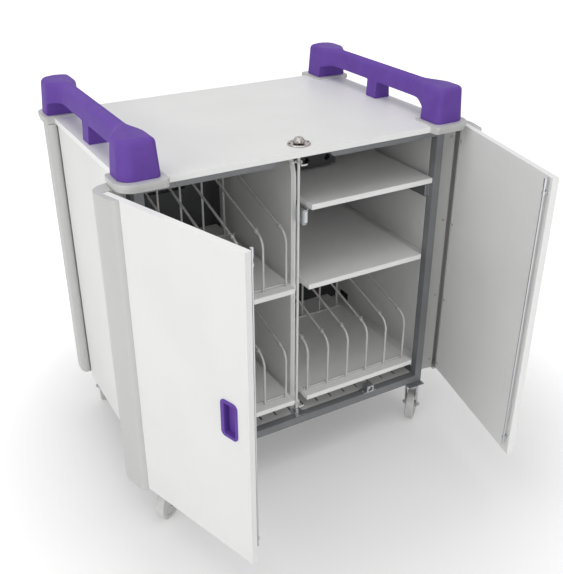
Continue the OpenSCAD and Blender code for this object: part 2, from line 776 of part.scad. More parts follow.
module door_caps() {
    translate([0, 0, profile_z]) { cap_plate(); translate([0, 0, cap_t]) cap_spigot(); }
    translate([0, 0, cap_z - cap_t]) { cap_plate(); translate([0, 0, -spigot_l]) cap_spigot(); }
}
// Recess for the grip in the door's outer face
grip_w = 53;
grip_h = 102;
grip_r = 13;
grip_rim = 7;
grip_in = 62;
grip_x = door_split / 2 + grip_in;
grip_z = 586;
grip_d = 13;
grip_flange = 3;
grip_step = 4;
grip_shift = 2;
module grip_outline(d) rounded([grip_x - grip_w / 2 + d, -grip_h / 2 + d],
    [grip_x + grip_w / 2 - d, grip_h / 2 - d], [1, 1, 1, 1] * (grip_r - d));
module facing_out(y, h) translate([0, y, grip_z]) rotate([90, 0, 0]) translate([0, 0, -h])
    linear_extrude(h) children();
module front_panel() block([door_split / 2, door_out, door_z], [board_edge, door_in, door_top]);
module door_panel() difference() {
    front_panel();
    facing_out(door_out - cut, grip_d + grip_flange + cut) grip_outline(grip_step);
}
module door_grip() difference() {
    union() {
        facing_out(door_out - grip_flange, grip_flange) grip_outline(0);
        facing_out(door_out - grip_flange + cut, grip_d + grip_flange + cut) grip_outline(grip_step + seat);
    }
    facing_out(door_out - grip_flange - cut, grip_d + grip_flange + cut)
        translate([-grip_shift, 0]) grip_outline(grip_rim + grip_shift);
}
bar_up = 33;
bar_z0 = door_z + bar_up;
bar_z1 = door_top - bar_r + cut;
stop_l = 22;
stop_w = 1.2;
ear_w = 4;
ear_t = 2.5;
ear_h = 8;
ear_l = 20;
ear_ring = 1.6;
ear_low = 20;
ear_top = 46;
ear_zs = [bar_z0 + ear_low, frame_top - ear_top];
module keeper_bar() translate([bar_x, bar_y, 0]) {
    translate([0, 0, bar_z0]) cylinder(r = bar_r, h = bar_z1 - bar_z0);
    translate([0, 0, bar_z1 - stop_l]) cylinder(r = bar_r + stop_w, h = stop_l);
    for (z = ear_zs) {
        block([-ear_w / 2, -bar_off, z], [ear_l - ear_w / 2, ear_t - bar_off, z + ear_h]);
        block([-ear_w / 2, -bar_off, z], [ear_w / 2, 0, z + ear_h]);
        translate([0, 0, z]) cylinder(r = bar_r + ear_ring, h = ear_h);
    }
}
module door_panel_left() color(white_board) open_door(-1) door_panel();
module door_panel_right() color(white_board) open_door(1) door_panel();
module door_profile_left() color(profile_grey) open_door(-1) door_profile();
module door_profile_right() color(profile_grey) open_door(1) door_profile();
module door_caps_left() color(collar_grey) open_door(-1) door_caps();
module door_caps_right() color(collar_grey) open_door(1) door_caps();
module keeper_bar_left() color(steel) open_door(-1) keeper_bar();
module keeper_bar_right() color(steel) open_door(1) keeper_bar();
module door_grip_left() color(handle_purple) open_door(-1) door_grip();
module door_grip_right() color(handle_purple) open_door(1) door_grip();

// Rear doors, shut, each with a cam lock that turns up behind the top rail
rear_lock_x = 60;
rear_lock_down = 20;
rear_lock_z = rail_low - rear_lock_down;
rear_lock_r = 9;
rear_rim = 4;
rear_rim_t = 3;
rear_key_w = 2;
rear_key_l = 10;
cam_l = 36;
cam_w = 12;
cam_t = 3;
cam_gap = 2;
cam_y = -inner_y + cam_gap;
module rear_panel() difference() {
    front_panel();
    translate([rear_lock_x, door_in + cut, rear_lock_z]) rotate([90, 0, 0])
        cylinder(r = rear_lock_r + fit, h = door_t + 2 * cut);
}
module rear_profile() { door_profile(); door_caps(); }
module rear_lock() translate([rear_lock_x, 0, rear_lock_z]) {
    difference() {
        union() {
            translate([0, cam_y + cam_t, 0]) rotate([90, 0, 0])
                cylinder(r = rear_lock_r, h = cam_y + cam_t - door_out + rear_rim_t / 2);
            translate([0, door_out, 0]) rotate([90, 0, 0])
                cylinder(r = rear_lock_r + rear_rim, h = rear_rim_t);
        }
        block([-rear_key_w / 2, door_out - rear_rim_t - cut, -rear_key_l / 2],
            [rear_key_w / 2, door_out, rear_key_l / 2]);
    }
    block([0, cam_y, -cam_w / 2], [cam_l, cam_y + cam_t, cam_w / 2]);
}
module rear_door_left() color(white_board) rear_door(-1) rear_panel();
module rear_door_right() color(white_board) rear_door(1) rear_panel();
module rear_profile_left() color(profile_grey) rear_door(-1) rear_profile();
module rear_profile_right() color(profile_grey) rear_door(1) rear_profile();
module rear_lock_left() color(steel) rear_door(-1) rear_lock();
module rear_lock_right() color(steel) rear_door(1) rear_lock();

// Casters
swivel_in_x = 31;
swivel_in_y = 5;
swivel_x = frame_x - swivel_in_x;
swivel_y = frame_y - swivel_in_y;
plate_w = 60;
plate_d = 54;
plate_t = 3;
king_r = 5;
king_nut_r = 8;
king_nut_h = 5;
king_l = 6;
race_r = 22;
race_h = 5;
race_wall = 5;
fork_top = caster_h - plate_t - race_h;
fork_t = 3;
fork_gap = 3.5;
fork_in = wheel_w / 2 + fork_gap;
fork_back = 20;
fork_front = 14;
fork_skirt = 18;
axle_r = 4;
axle_end = 9;
axle_nut_r = 7;
axle_nut_h = 7;
axle_boss_r = 12;
axle_tip = 2;
module caster_plates() color(steel) placed() four_corners() translate([swivel_x, swivel_y, 0]) {
    block([-plate_w / 2, -plate_d / 2, caster_h - plate_t], [plate_w / 2, plate_d / 2, caster_h]);
    translate([0, 0, fork_top]) cylinder(r = race_r, h = race_h);
    translate([0, 0, fork_top - fork_t - king_l]) cylinder(r = king_r, h = fork_t + king_l + cut);
    translate([0, 0, fork_top - fork_t - king_l]) cylinder(r = king_nut_r, h = king_nut_h, $fn = 6);
}
// A fork with its wheel trailing towards -Y
module caster_fork() {
    crown_z = fork_top - fork_t - seat;
    difference() {
        union() {
            translate([0, 0, crown_z]) cylinder(r = race_r, h = fork_t);
            block([-fork_in - fork_t, -fork_back, crown_z], [fork_in + fork_t, fork_front, crown_z + fork_t]);
            both_sides() fork_leg();
        }
        translate([0, 0, wheel_r]) cylinder(r = king_r + fit, h = caster_h);
    }
    translate([-fork_in - fork_t - axle_end, -trail, wheel_r]) rotate([0, 90, 0]) axle();
}
module fork_leg() difference() {
    translate([fork_in, 0, 0]) rotate([90, 0, 90]) linear_extrude(fork_t) {
        polygon([[-fork_back, fork_top - seat], [fork_front, fork_top - seat],
            [fork_front, fork_top - fork_skirt], [-trail + axle_boss_r, wheel_r - axle_r],
            [-trail - axle_boss_r, wheel_r - axle_r], [-trail - axle_boss_r, wheel_r + axle_r]]);
        translate([-trail, wheel_r]) circle(axle_boss_r);
    }
    translate([fork_in - cut, -trail, wheel_r]) rotate([0, 90, 0])
        cylinder(r = axle_r + fit, h = fork_t + 2 * cut);
}
module axle() {
    l = 2 * (fork_in + fork_t + axle_end);
    cylinder(r = axle_r, h = l);
    for (z = [axle_tip, l - axle_tip - axle_nut_h]) translate([0, 0, z])
        cylinder(r = axle_nut_r, h = axle_nut_h, $fn = 6);
}
// A wheel turned from one outline: hub, dished web, rim and tread with rounded shoulders
hub_r = 12;
hub_over = 2;
web_in = 5;
rim_in = 14;
rim_top = 11;
shoulder = 4;
module wheel() translate([0, -trail, wheel_r]) rotate([0, 90, 0]) rotate_extrude($fn = 96) {
    h = wheel_w / 2;
    half = [[axle_r + fit, h + hub_over], [hub_r, h + hub_over], [hub_r, h - web_in],
        [wheel_r - rim_in, h - web_in], [wheel_r - rim_top, h], [wheel_r - shoulder, h],
        [wheel_r - shoulder / 3, h - shoulder / 3], [wheel_r, h - shoulder]];
    n = len(half) - 1;
    polygon(concat(half, [for (i = [n:-1:0]) [half[i][0], -half[i][1]]]));
}
module caster_at(x, y, turn) placed() translate([x * swivel_x, y * swivel_y, 0])
    rotate([0, 0, turn]) children();
turn_fl = -52;
turn_fr = 132;
turn_rl = 160;
turn_rr = 200;
module caster_fork_fl() color(steel) caster_at(-1, -1, turn_fl) caster_fork();
module caster_fork_fr() color(steel) caster_at(1, -1, turn_fr) caster_fork();
module caster_fork_rl() color(steel) caster_at(-1, 1, turn_rl) braked_fork();
module caster_fork_rr() color(steel) caster_at(1, 1, turn_rr) braked_fork();
module wheel_fl() color(collar_grey) caster_at(-1, -1, turn_fl) wheel();
module wheel_fr() color(collar_grey) caster_at(1, -1, turn_fr) wheel();
module wheel_rl() color(collar_grey) caster_at(-1, 1, turn_rl) wheel();
module wheel_rr() color(collar_grey) caster_at(1, 1, turn_rr) wheel();
// Brake pedal over the wheel, on a pin through the fork legs
pedal_y = -14;
pedal_up = 17;
pedal_z = 2 * wheel_r + pedal_up;
pedal_pin_r = 3;
pedal_pin_end = 2;
pedal_w = 24;
pedal_l = 52;
pedal_t = 4;
pedal_back = 6;
pedal_lip = 10;
pedal_lip_h = 7;
pedal_tilt = 12;
module braked_fork() difference() {
    caster_fork();
    both_sides() translate([fork_in - cut, pedal_y, pedal_z]) rotate([0, 90, 0])
        cylinder(r = pedal_pin_r + fit, h = fork_t + 2 * cut);
}
module brake_pedal() translate([0, pedal_y, pedal_z]) {
    translate([-fork_in - fork_t - pedal_pin_end, 0, 0]) rotate([0, 90, 0])
        cylinder(r = pedal_pin_r, h = 2 * (fork_in + fork_t + pedal_pin_end));
    translate([-pedal_w / 2, 0, -pedal_t / 2]) rotate([pedal_tilt, 0, 0]) {
        block([0, -pedal_l, 0], [pedal_w, pedal_back, pedal_t]);
        block([0, -pedal_l, 0], [pedal_w, pedal_lip - pedal_l, pedal_lip_h]);
    }
}
module brake_pedal_rl() color(dark_steel) caster_at(-1, 1, turn_rl) brake_pedal();
module brake_pedal_rr() color(dark_steel) caster_at(1, 1, turn_rr) brake_pedal();

// Power parts: the unit under the worktop, the socket strips, inlet and switch
unit_in = 2;
unit_x0 = shelf_gap + unit_in;
unit_w = 228;
unit_d = 280;
unit_lift = 8;
unit_x1 = unit_x0 + unit_w;
unit_y0 = partition_y - unit_d;
unit_z0 = pull_z + unit_lift;
unit_hole_r = 9;
unit_hole_up = 22;
unit_hole_d = 19;
unit_hole_in = 30;
unit_hole_pitch = 72;
module power_unit() color(dark_steel) placed() difference() {
    block([unit_x0, unit_y0, unit_z0], [unit_x1, partition_y, frame_top]);
    for (i = [0, 1])
        translate([unit_x1 - unit_hole_in - i * unit_hole_pitch, unit_y0 - cut, unit_z0 + unit_hole_up])
            rotate([-90, 0, 0]) cylinder(r = unit_hole_r, h = unit_hole_d + cut);
}
strip_in = 38;
strip_out = 21;
strip_x0 = shelf_gap + strip_in;
strip_w = shelf_x1 - strip_out - strip_x0;
strip_h = 46;
strip_d = 38;
low_strip_up = 210;
mid_strip_up = 240;
strip_zs = [low_shelf_z + low_strip_up, mid_shelf_z + mid_strip_up];
sockets = 5;
socket_r = 19;
socket_d = 12;
socket_in = 30;
socket_tail = 78;
socket_pitch = (strip_w - socket_in - socket_tail) / (sockets - 1);
strip_y = partition_y + sheet_t + strip_d;
module strip(z) difference() {
    block([strip_x0, partition_y + sheet_t, z], [strip_x0 + strip_w, strip_y, z + strip_h]);
    for (i = [0:sockets - 1])
        translate([strip_x0 + socket_in + i * socket_pitch, strip_y - socket_d, z + strip_h / 2])
            rotate([-90, 0, 0]) cylinder(r = socket_r, h = socket_d + cut);
}
switch_end = 24;
switch_x = strip_x0 + strip_w - switch_end;
switch_w = 14;
switch_h = 24;
switch_in = 4;
switch_floor = 6;
switch_y = strip_y - switch_in;
switch_z = strip_zs[1] + strip_h / 2;
switch_pin_r = 1.5;
switch_pin_l = 3;
module switch_pin(r, l) translate([switch_x - switch_w / 2 - l, switch_y, switch_z]) rotate([0, 90, 0])
    cylinder(r = r, h = switch_w + 2 * l);
module power_strips() color(white_board) placed() difference() {
    both_sides() for (z = strip_zs) strip(z);
    block([switch_x - switch_w / 2, switch_y - switch_floor, switch_z - switch_h / 2],
        [switch_x + switch_w / 2, switch_y + switch_in + cut, switch_z + switch_h / 2]);
    switch_pin(switch_pin_r + fit, switch_pin_l + seat);
}
// A rocker on a pin in the strip's side walls
rocker_shares = [[-0.5, 0], [-0.33, 0.6], [0.65, 0.8], [0.95, 0], [0.6, -0.8], [-0.33, -0.6]];
module power_switch() color("#B03030") placed() {
    translate([switch_x - switch_w / 2 + seat, switch_y, switch_z]) rotate([90, 0, 90])
        linear_extrude(switch_w - 2 * seat)
            polygon([for (p = rocker_shares) [p[0] * switch_floor, p[1] * switch_h / 2]]);
    switch_pin(switch_pin_r, switch_pin_l);
}
inlet_rim = 5;
inlet_rim_t = 2;
inlet_wall_w = 6;
inlet_wall_h = 4;
module inlet_block(x0, x1, w, h)
    block([x0, inlet_y - w / 2, inlet_z - h / 2], [x1, inlet_y + w / 2, inlet_z + h / 2]);
module power_inlet() color(dark_steel) placed() difference() {
    union() {
        inlet_block(frame_x + side_t, frame_x + side_t + inlet_rim_t,
            inlet_w + 2 * inlet_rim, inlet_h + 2 * inlet_rim);
        inlet_block(frame_x, frame_x + side_t + cut, inlet_w - 2 * seat, inlet_h - 2 * seat);
    }
    inlet_block(frame_x + inlet_wall_h, frame_x + side_t + inlet_rim_t + cut,
        inlet_w - 2 * inlet_wall_w, inlet_h - 2 * inlet_wall_h);
}

front_frame();
rear_frame();
side_rails();
worktop();
side_panels();
corner_collars();
handle_left();
handle_right();
centre_divider();
mid_shelves();
low_shelves();
shelf_brackets();
rack_mid_left();
rack_low_left();
rack_low_right();
rear_partition();
adapter_trays();
base_plate();
runner_channels();
lock_escutcheon();
rod_guide();
door_catches();
pivot_pins();
caster_plates();
power_unit();
power_strips();
power_inlet();
runner_slides();
pull_out_shelf();
shelf_slides();
lock_knob();
lock_rod();
door_panel_left();
door_profile_left();
door_caps_left();
keeper_bar_left();
door_grip_left();
door_panel_right();
door_profile_right();
door_caps_right();
keeper_bar_right();
door_grip_right();
rear_door_left();
rear_profile_left();
rear_door_right();
rear_profile_right();
rear_lock_left();
rear_lock_right();
caster_fork_fl();
caster_fork_fr();
caster_fork_rl();
caster_fork_rr();
wheel_fl();
wheel_fr();
wheel_rl();
wheel_rr();
brake_pedal_rl();
brake_pedal_rr();
power_switch();
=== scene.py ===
# %% [markdown]
# # A charging cart
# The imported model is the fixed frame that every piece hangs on. The cart's axes
# are +X to its right, +Y to its back and +Z up. Blender works in metres, and the
# sizes below are written in millimetres, as a maker's drawing gives them.

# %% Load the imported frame
import json
import math

import bmesh
import bpy
from mathutils import Matrix, Vector

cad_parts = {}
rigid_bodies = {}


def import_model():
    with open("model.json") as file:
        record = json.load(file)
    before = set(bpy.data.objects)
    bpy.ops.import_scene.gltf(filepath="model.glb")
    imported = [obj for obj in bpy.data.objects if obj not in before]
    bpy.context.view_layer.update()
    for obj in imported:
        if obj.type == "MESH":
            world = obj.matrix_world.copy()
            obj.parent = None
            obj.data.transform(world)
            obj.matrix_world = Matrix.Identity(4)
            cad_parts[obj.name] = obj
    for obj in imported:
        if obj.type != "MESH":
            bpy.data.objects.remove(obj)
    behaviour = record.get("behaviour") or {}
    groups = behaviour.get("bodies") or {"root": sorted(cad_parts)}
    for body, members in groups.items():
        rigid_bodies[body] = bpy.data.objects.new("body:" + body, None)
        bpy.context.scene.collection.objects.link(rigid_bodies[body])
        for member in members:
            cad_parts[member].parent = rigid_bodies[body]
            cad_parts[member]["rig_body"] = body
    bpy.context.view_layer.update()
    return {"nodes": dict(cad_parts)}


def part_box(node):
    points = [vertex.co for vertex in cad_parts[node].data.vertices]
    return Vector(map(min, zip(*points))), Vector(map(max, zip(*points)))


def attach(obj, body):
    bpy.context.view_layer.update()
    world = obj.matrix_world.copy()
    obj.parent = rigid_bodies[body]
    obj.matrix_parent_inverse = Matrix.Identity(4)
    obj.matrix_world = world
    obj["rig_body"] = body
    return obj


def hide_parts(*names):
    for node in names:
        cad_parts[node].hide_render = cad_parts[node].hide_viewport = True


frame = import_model()
nodes = frame["nodes"]
MM = 0.001

# %% [markdown]
# ## Colours and nodes
# A finish is one Principled shader. What is even across a part is a constant on
# the shader's own socket, and what wanders is noise. An image could carry it too,
# but noise needs no file and has no seams, and it is laid out from real sizes, so
# a small part and a large board show the same grain.

# %% A colour as a shader takes it, and one way to add a node
def linear(code):
    """An sRGB hex colour as the linear values that a shader socket takes."""
    parts = [int(code[i:i + 2], 16) / 255 for i in (1, 3, 5)]
    return [c / 12.92 if c <= 0.04045 else ((c + 0.055) / 1.055) ** 2.4 for c in parts] + [1.0]


def add(tree, kind, inputs=None, **settings):
    """Adds one node with its settings. An input is a plain value or another node's socket."""
    made = tree.nodes.new(kind)
    for key, value in settings.items():
        setattr(made, key, value)
    for key, value in (inputs or {}).items():
        if isinstance(value, bpy.types.NodeSocket):
            tree.links.new(value, made.inputs[key])
        else:
            made.inputs[key].default_value = value
    return made


print("board white in linear light", [round(v, 3) for v in linear("#F3F3F2")])

# %% [markdown]
# ## Board finish
# The boards are chipboard faced with melamine, a white paper soaked in resin and
# pressed on between textured plates. The plates leave a pebble of about 0.3 mm,
# which is finer than a render shows, so it is drawn at 2.2 mm and kept shallow. A
# plain white would look like paper. The pebble and a slow change of tone over a
# hand's breadth make it a board.

# %% Melamine, from constant values
def surface(name, colour, roughness, **shader):
    """A material whose shader sockets hold its constant values."""
    made = bpy.data.materials.new(name)
    made.use_nodes = True
    base = made.node_tree.nodes["Principled BSDF"]
    base.inputs["Base Color"].default_value = linear(colour)
    base.inputs["Roughness"].default_value = roughness
    for key, value in shader.items():
        base.inputs[key.replace("_", " ").title().replace("Ior", "IOR")].default_value = value
    return made


# Dull sheen: a lamp leaves a broad pale patch on it and no sharp reflection.
melamine = surface("melamine_faced_board_pearl", "#F3F3F2", 0.45, specular_ior_level=0.35)
print("made", melamine.name)

# %% Its pebble, as a relief
def grain(made, size_mm, height_mm, detail=2.0, stretch=(1, 1, 1)):
    """Raises a random relief of that size and height."""
    tree = made.node_tree
    where = add(tree, "ShaderNodeTexCoord")
    turned = add(tree, "ShaderNodeMapping", {"Vector": where.outputs["Object"], "Scale": stretch})
    noise = add(tree, "ShaderNodeTexNoise", {"Vector": turned.outputs["Vector"],
                "Scale": 1 / (size_mm * MM), "Detail": detail, "Roughness": 0.55})
    bump = add(tree, "ShaderNodeBump", {"Height": noise.outputs["Fac"], "Distance": height_mm * MM,
               "Strength": 1.0})
    tree.links.new(bump.outputs["Normal"], tree.nodes["Principled BSDF"].inputs["Normal"])


grain(melamine, size_mm=2.2, height_mm=0.035)
print("nodes in it", len(melamine.node_tree.nodes))

# %% Its change of tone, and the edge band
# The noise lies around a half. Between these two values it runs from one tone to the other.
FIRST_STOP, LAST_STOP = 0.35, 0.65


def mottle(made, size_mm, dark, light, socket="Base Color", stretch=(1, 1, 1)):
    """Lets a colour or a roughness wander between two values over that distance."""
    tree = made.node_tree
    where = add(tree, "ShaderNodeTexCoord")
    turned = add(tree, "ShaderNodeMapping", {"Vector": where.outputs["Object"], "Scale": stretch})
    noise = add(tree, "ShaderNodeTexNoise", {"Vector": turned.outputs["Vector"],
                "Scale": 1 / (size_mm * MM), "Detail": 3.0})
    ramp = add(tree, "ShaderNodeValToRGB", {"Fac": noise.outputs["Fac"]})
    stops = ramp.color_ramp.elements
    for stop, place, value in zip(stops, (FIRST_STOP, LAST_STOP), (dark, light)):
        stop.position = place
        stop.color = linear(value) if isinstance(value, str) else (value, value, value, 1)
    tree.links.new(ramp.outputs["Color"], tree.nodes["Principled BSDF"].inputs[socket])


mottle(melamine, 260, "#F0F0EF", "#F4F4F3")
# Smoother and whiter than the board, so that each edge reads as a pale line. The wave
# of 3 mm in it is what the glue below leaves.
edge_band = surface("abs_edge_band_white", "#FCFCFB", 0.34)
grain(edge_band, size_mm=3, height_mm=0.02)
print("boards", melamine.name, edge_band.name)

# %% [markdown]
# ## Powder coats
# Tubes, profiles and sheets are sprayed with dry paint that melts in an oven. It
# flows out into an orange peel, low waves a millimetre or two across, which is
# drawn at its real size. A bump does it, because waves of a twentieth of a
# millimetre would need far too many faces as geometry.

# %% Four powder coats
# Grey tube: the peel breaks a lamp's reflection into a soft streak along the tube.
frame_coat = surface("steel_tube_powder_coated_grey", "#7E8082", 0.46)
grain(frame_coat, size_mm=1.8, height_mm=0.05)
mottle(frame_coat, 90, "#7A7C7E", "#828486")
# Light grey profile: peel and tone are stretched along the extrusion, as its die left them.
profile_coat = surface("aluminium_extrusion_powder_coated_light_grey", "#CBCBC9", 0.4)
grain(profile_coat, size_mm=2.0, height_mm=0.03, stretch=(1, 1, 0.35))
mottle(profile_coat, 300, "#C8C8C6", "#CDCDCB", stretch=(1, 1, 0.2))
# White sheet steel: a shade greyer than the boards and a little glossier.
white_coat = surface("sheet_steel_powder_coated_white", "#E9E9E8", 0.42)
grain(white_coat, size_mm=1.8, height_mm=0.045)
# Charcoal sheet steel: nearly black, with a grey bloom where it turns to the light.
dark_coat = surface("sheet_steel_powder_coated_charcoal", "#353638", 0.5)
grain(dark_coat, size_mm=1.6, height_mm=0.06)
mottle(dark_coat, 120, "#333436", "#38393B")
print("coats", [m.name for m in (frame_coat, profile_coat, white_coat, dark_coat)])

# %% [markdown]
# ## Moulded plastics
# Handles, collars and small fittings are injection moulded in spark-eroded tools,
# whose grain of about 0.1 mm takes the gloss off. It is too fine to show, so it
# is drawn at about a millimetre. The handles have a low specular level, because
# the real purple stays deep even where it faces the lamps.

# %% Five mouldings
# Purple polypropylene: deep, nearly matt, with hardly any highlight.
handle_plastic = surface("polypropylene_moulded_purple", "#6E4EA8", 0.55, specular_ior_level=0.1)
grain(handle_plastic, size_mm=0.9, height_mm=0.03, detail=1.0)
mottle(handle_plastic, 45, "#6B4BA4", "#7050AA")
# Light grey polypropylene: a soft sheen that shows the collars' round edges.
collar_plastic = surface("polypropylene_moulded_light_grey", "#CCCCCA", 0.45)
grain(collar_plastic, size_mm=1.0, height_mm=0.03)
mottle(collar_plastic, 60, "#C9C9C7", "#CFCFCD")
# Black ABS: a soft highlight on a black body.
black_plastic = surface("abs_moulded_black", "#1B1C1D", 0.42)
grain(black_plastic, size_mm=0.9, height_mm=0.03)
# Pale rubber tread: matt and a little uneven, as a wheel is that has rolled. Its pores
# are drawn at 1.4 mm, coarser than they are.
tread = surface("thermoplastic_rubber_tread_pale_grey", "#D6D6D3", 0.62)
grain(tread, size_mm=1.4, height_mm=0.05)
mottle(tread, 25, "#D0D0CD", "#DADAD7")
# Red polycarbonate: the one glossy plastic, so that the switch can be found. It comes
# from a polished tool, so it has a faint sink and no grain.
rocker_plastic = surface("polycarbonate_rocker_red", "#A02320", 0.25)
grain(rocker_plastic, size_mm=4, height_mm=0.01)
print("mouldings", [m.name for m in (handle_plastic, collar_plastic, black_plastic, tread, rocker_plastic)])

# %% [markdown]
# ## Metals and coated rods
# Plating copies the metal below it, so a bright plated sheet is clear in one spot
# and hazy in the next. That is a roughness that wanders, which noise on the
# Roughness socket gives. A very shallow relief a few millimetres across is the
# waviness that pressing or polishing leaves. The rods are coated and not plated,
# so their shader has no metal in it, and their coat's peel is drawn at its real
# size.

# %% Plated metals
# Zinc plate: a cold grey shine, cloudy from one thumb's width to the next.
zinc = surface("steel_zinc_plated_bright", "#B9BBBD", 0.34, metallic=1.0)
grain(zinc, size_mm=3.5, height_mm=0.02, detail=3)
mottle(zinc, 14, 0.28, 0.42, socket="Roughness")
# Satin nickel on a die casting: warmer and smoother, so the lock mirrors its surroundings.
satin_nickel = surface("zinc_die_casting_satin_nickel_plated", "#A29E9B", 0.2, metallic=1.0)
mottle(satin_nickel, 9, 0.15, 0.26, socket="Roughness")
grain(satin_nickel, size_mm=6, height_mm=0.004)
print("plated", zinc.name, satin_nickel.name)

# %% Coated rods and black screws
# Light grey coat: a thin bright line along each wire's upper side.
wire_coat = surface("steel_rod_powder_coated_light_grey", "#CFCFCD", 0.38)
mottle(wire_coat, 25, "#CACAC8", "#D4D4D2", stretch=(1, 1, 0.3))
grain(wire_coat, size_mm=2.0, height_mm=0.02)
# White coat: the lock's rod stands out against the grey frame behind it.
rod_coat = surface("steel_rod_powder_coated_white", "#ECECEA", 0.35)
mottle(rod_coat, 25, "#E8E8E6", "#EFEFED", stretch=(1, 1, 0.3))
grain(rod_coat, size_mm=2.0, height_mm=0.02)
# Black oxide: dark dots with a dull glint on the lock's nickel. Its crystals are too fine
# to show, so 1.5 mm stands for them.
blued = surface("steel_black_oxide_screw", "#303234", 0.4, metallic=1.0)
mottle(blued, 3, 0.3, 0.45, socket="Roughness")
grain(blued, size_mm=1.5, height_mm=0.01)
print("rods and screws", wire_coat.name, rod_coat.name, blued.name)

# %% [markdown]
# ## Finishing the solids
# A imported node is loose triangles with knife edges. Real board edges are rounded
# by a millimetre and bent tube has soft corners, and it is those narrow rounds
# that catch the light. So each node is copied, its triangles are merged, a Bevel
# modifier rounds its corners, and the copy stands for the node. Weighted normals
# keep the broad faces flat beside the new rounds.

# %% Objects, meshes and what a piece has to say
def body_of(node):
    return nodes[node]["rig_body"]


def link(name, mesh):
    made = bpy.data.objects.new(name, mesh)
    bpy.context.scene.collection.objects.link(made)
    return made


def settle(holder):
    """Turns an object with modifiers into a plain mesh and removes the object."""
    graph = bpy.context.evaluated_depsgraph_get()
    mesh = bpy.data.meshes.new_from_object(holder.evaluated_get(graph))
    bpy.data.objects.remove(holder)
    return mesh


def finish_piece(piece, body, material, slot, *stands_for):
    """Gives a piece its finish, its body and the nodes that it stands for."""
    piece.data.materials.clear()
    piece.data.materials.append(material)
    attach(piece, body)
    if stands_for:
        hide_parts(*stands_for)
    return piece


print("the worktop rides on", body_of("worktop"))

# %% Rounding a node's corners
# Points nearer than WELD merge, and faces that turn less than FLAT become one.
WELD, FLAT, SMOOTH = 1e-6, math.radians(0.4), math.radians(32)


def rounded_copy(node, radius_mm, steps=2):
    """A copy of a node with merged triangles and its corners rounded."""
    form = bmesh.new()
    form.from_mesh(nodes[node].data)
    bmesh.ops.remove_doubles(form, verts=form.verts, dist=WELD)
    bmesh.ops.dissolve_limit(form, angle_limit=FLAT, verts=form.verts, edges=form.edges)
    mesh = bpy.data.meshes.new(node + "_rounded")
    form.to_mesh(mesh)
    form.free()
    mesh.shade_smooth()
    mesh.set_sharp_from_angle(angle=SMOOTH)
    holder = link(node + "_holder", mesh)
    soften = holder.modifiers.new("round", "BEVEL")
    soften.width = radius_mm * MM
    soften.segments = steps
    soften.limit_method = "ANGLE"
    soften.angle_limit = SMOOTH
    soften.harden_normals = True
    flatten = holder.modifiers.new("flatten", "WEIGHTED_NORMAL")
    flatten.keep_sharp = True
    return link(node + "_piece", settle(holder))


def dress(material, slot, names, radius_mm, steps=2):
    """Puts a rounded and finished copy in the place of each node."""
    for node in names:
        piece = rounded_copy(node, radius_mm, steps)
        finish_piece(piece, body_of(node), material, slot, node)
        print(node, len(piece.data.polygons), "faces")


print("corners sharper than", round(math.degrees(SMOOTH)), "degrees are rounded")

# %% [markdown]
# ### Boards
# All the boards are sawn from one sheet and edged with a thin plastic band, whose
# corners a router rounds to about a millimetre. The band could be strips of its
# own, but it lies flush with the board and no joint shows. So the faces that stand
# across a board's broad side simply take the band's material.

# %% Boards with their edge bands
# A face is part of the rim if its normal has less than this share along the board's own.
ACROSS = 0.3


def band_edges(piece, band):
    """Gives the band to every face that stands across the board's broad faces."""
    piece.data.materials.append(band)
    faces = piece.data.polygons
    broad = max(faces, key=lambda f: f.area).normal.copy()
    rim = [f for f in faces if abs(f.normal.dot(broad)) < ACROSS]
    for face in rim:
        face.material_index = 1
    return len(rim)


for node in ("worktop", "side_panels", "centre_divider", "mid_shelves", "low_shelves", "pull_out_shelf",
             "door_panel_left", "door_panel_right", "rear_door_left", "rear_door_right"):
    board = rounded_copy(node, radius_mm=1.0)
    finish_piece(board, body_of(node), melamine, "white_board", node)
    print(node, "banded faces", band_edges(board, edge_band))

# %% [markdown]
# ### Frame, profiles and sheet metal
# Square tube has corners rolled to its wall's thickness, an extrusion keeps the
# small radius of its die, and a sheet's sheared edge is only broken. Each group
# gets its own radius, because one radius for all would make tube look like sheet.

# %% Coated metal
dress(frame_coat, "frame_steel", ("front_frame", "rear_frame", "side_rails"), radius_mm=1.5, steps=3)
dress(profile_coat, "profile_metal", ("door_profile_left", "door_profile_right",
      "rear_profile_left", "rear_profile_right"), radius_mm=0.5)
dress(white_coat, "white_steel", ("adapter_trays", "shelf_brackets"), radius_mm=0.5)
dress(white_coat, "white_steel", ("base_plate",), radius_mm=0.4, steps=1)
dress(dark_coat, "dark_sheet", ("rear_partition", "power_unit"), radius_mm=0.5)

# %% [markdown]
# ### Mouldings
# A moulding has no sharp corner at all, since the tool's own edges are rounded so
# that plastic flows. The door grips are what a hand meets, so their rounds get one
# more step than the rest.

# %% Collars, caps, grips and black fittings
dress(collar_plastic, "collar_plastic", ("corner_collars", "door_caps_left", "door_caps_right"),
      radius_mm=0.8)
dress(handle_plastic, "handle_plastic", ("door_grip_left", "door_grip_right"), radius_mm=0.8, steps=3)
dress(black_plastic, "black_plastic", ("power_strips", "power_inlet"), radius_mm=1.2)
dress(black_plastic, "black_plastic", ("brake_pedal_rl", "brake_pedal_rr"), radius_mm=0.6)
dress(rocker_plastic, "red_plastic", ("power_switch",), radius_mm=0.5)

# %% [markdown]
# ### Metal parts
# Runners, brackets and casters are pressed from plated sheet, and the lock is a
# die casting. Their edges are broken by a few tenths of a millimetre, which is
# enough for a thin bright line along them.

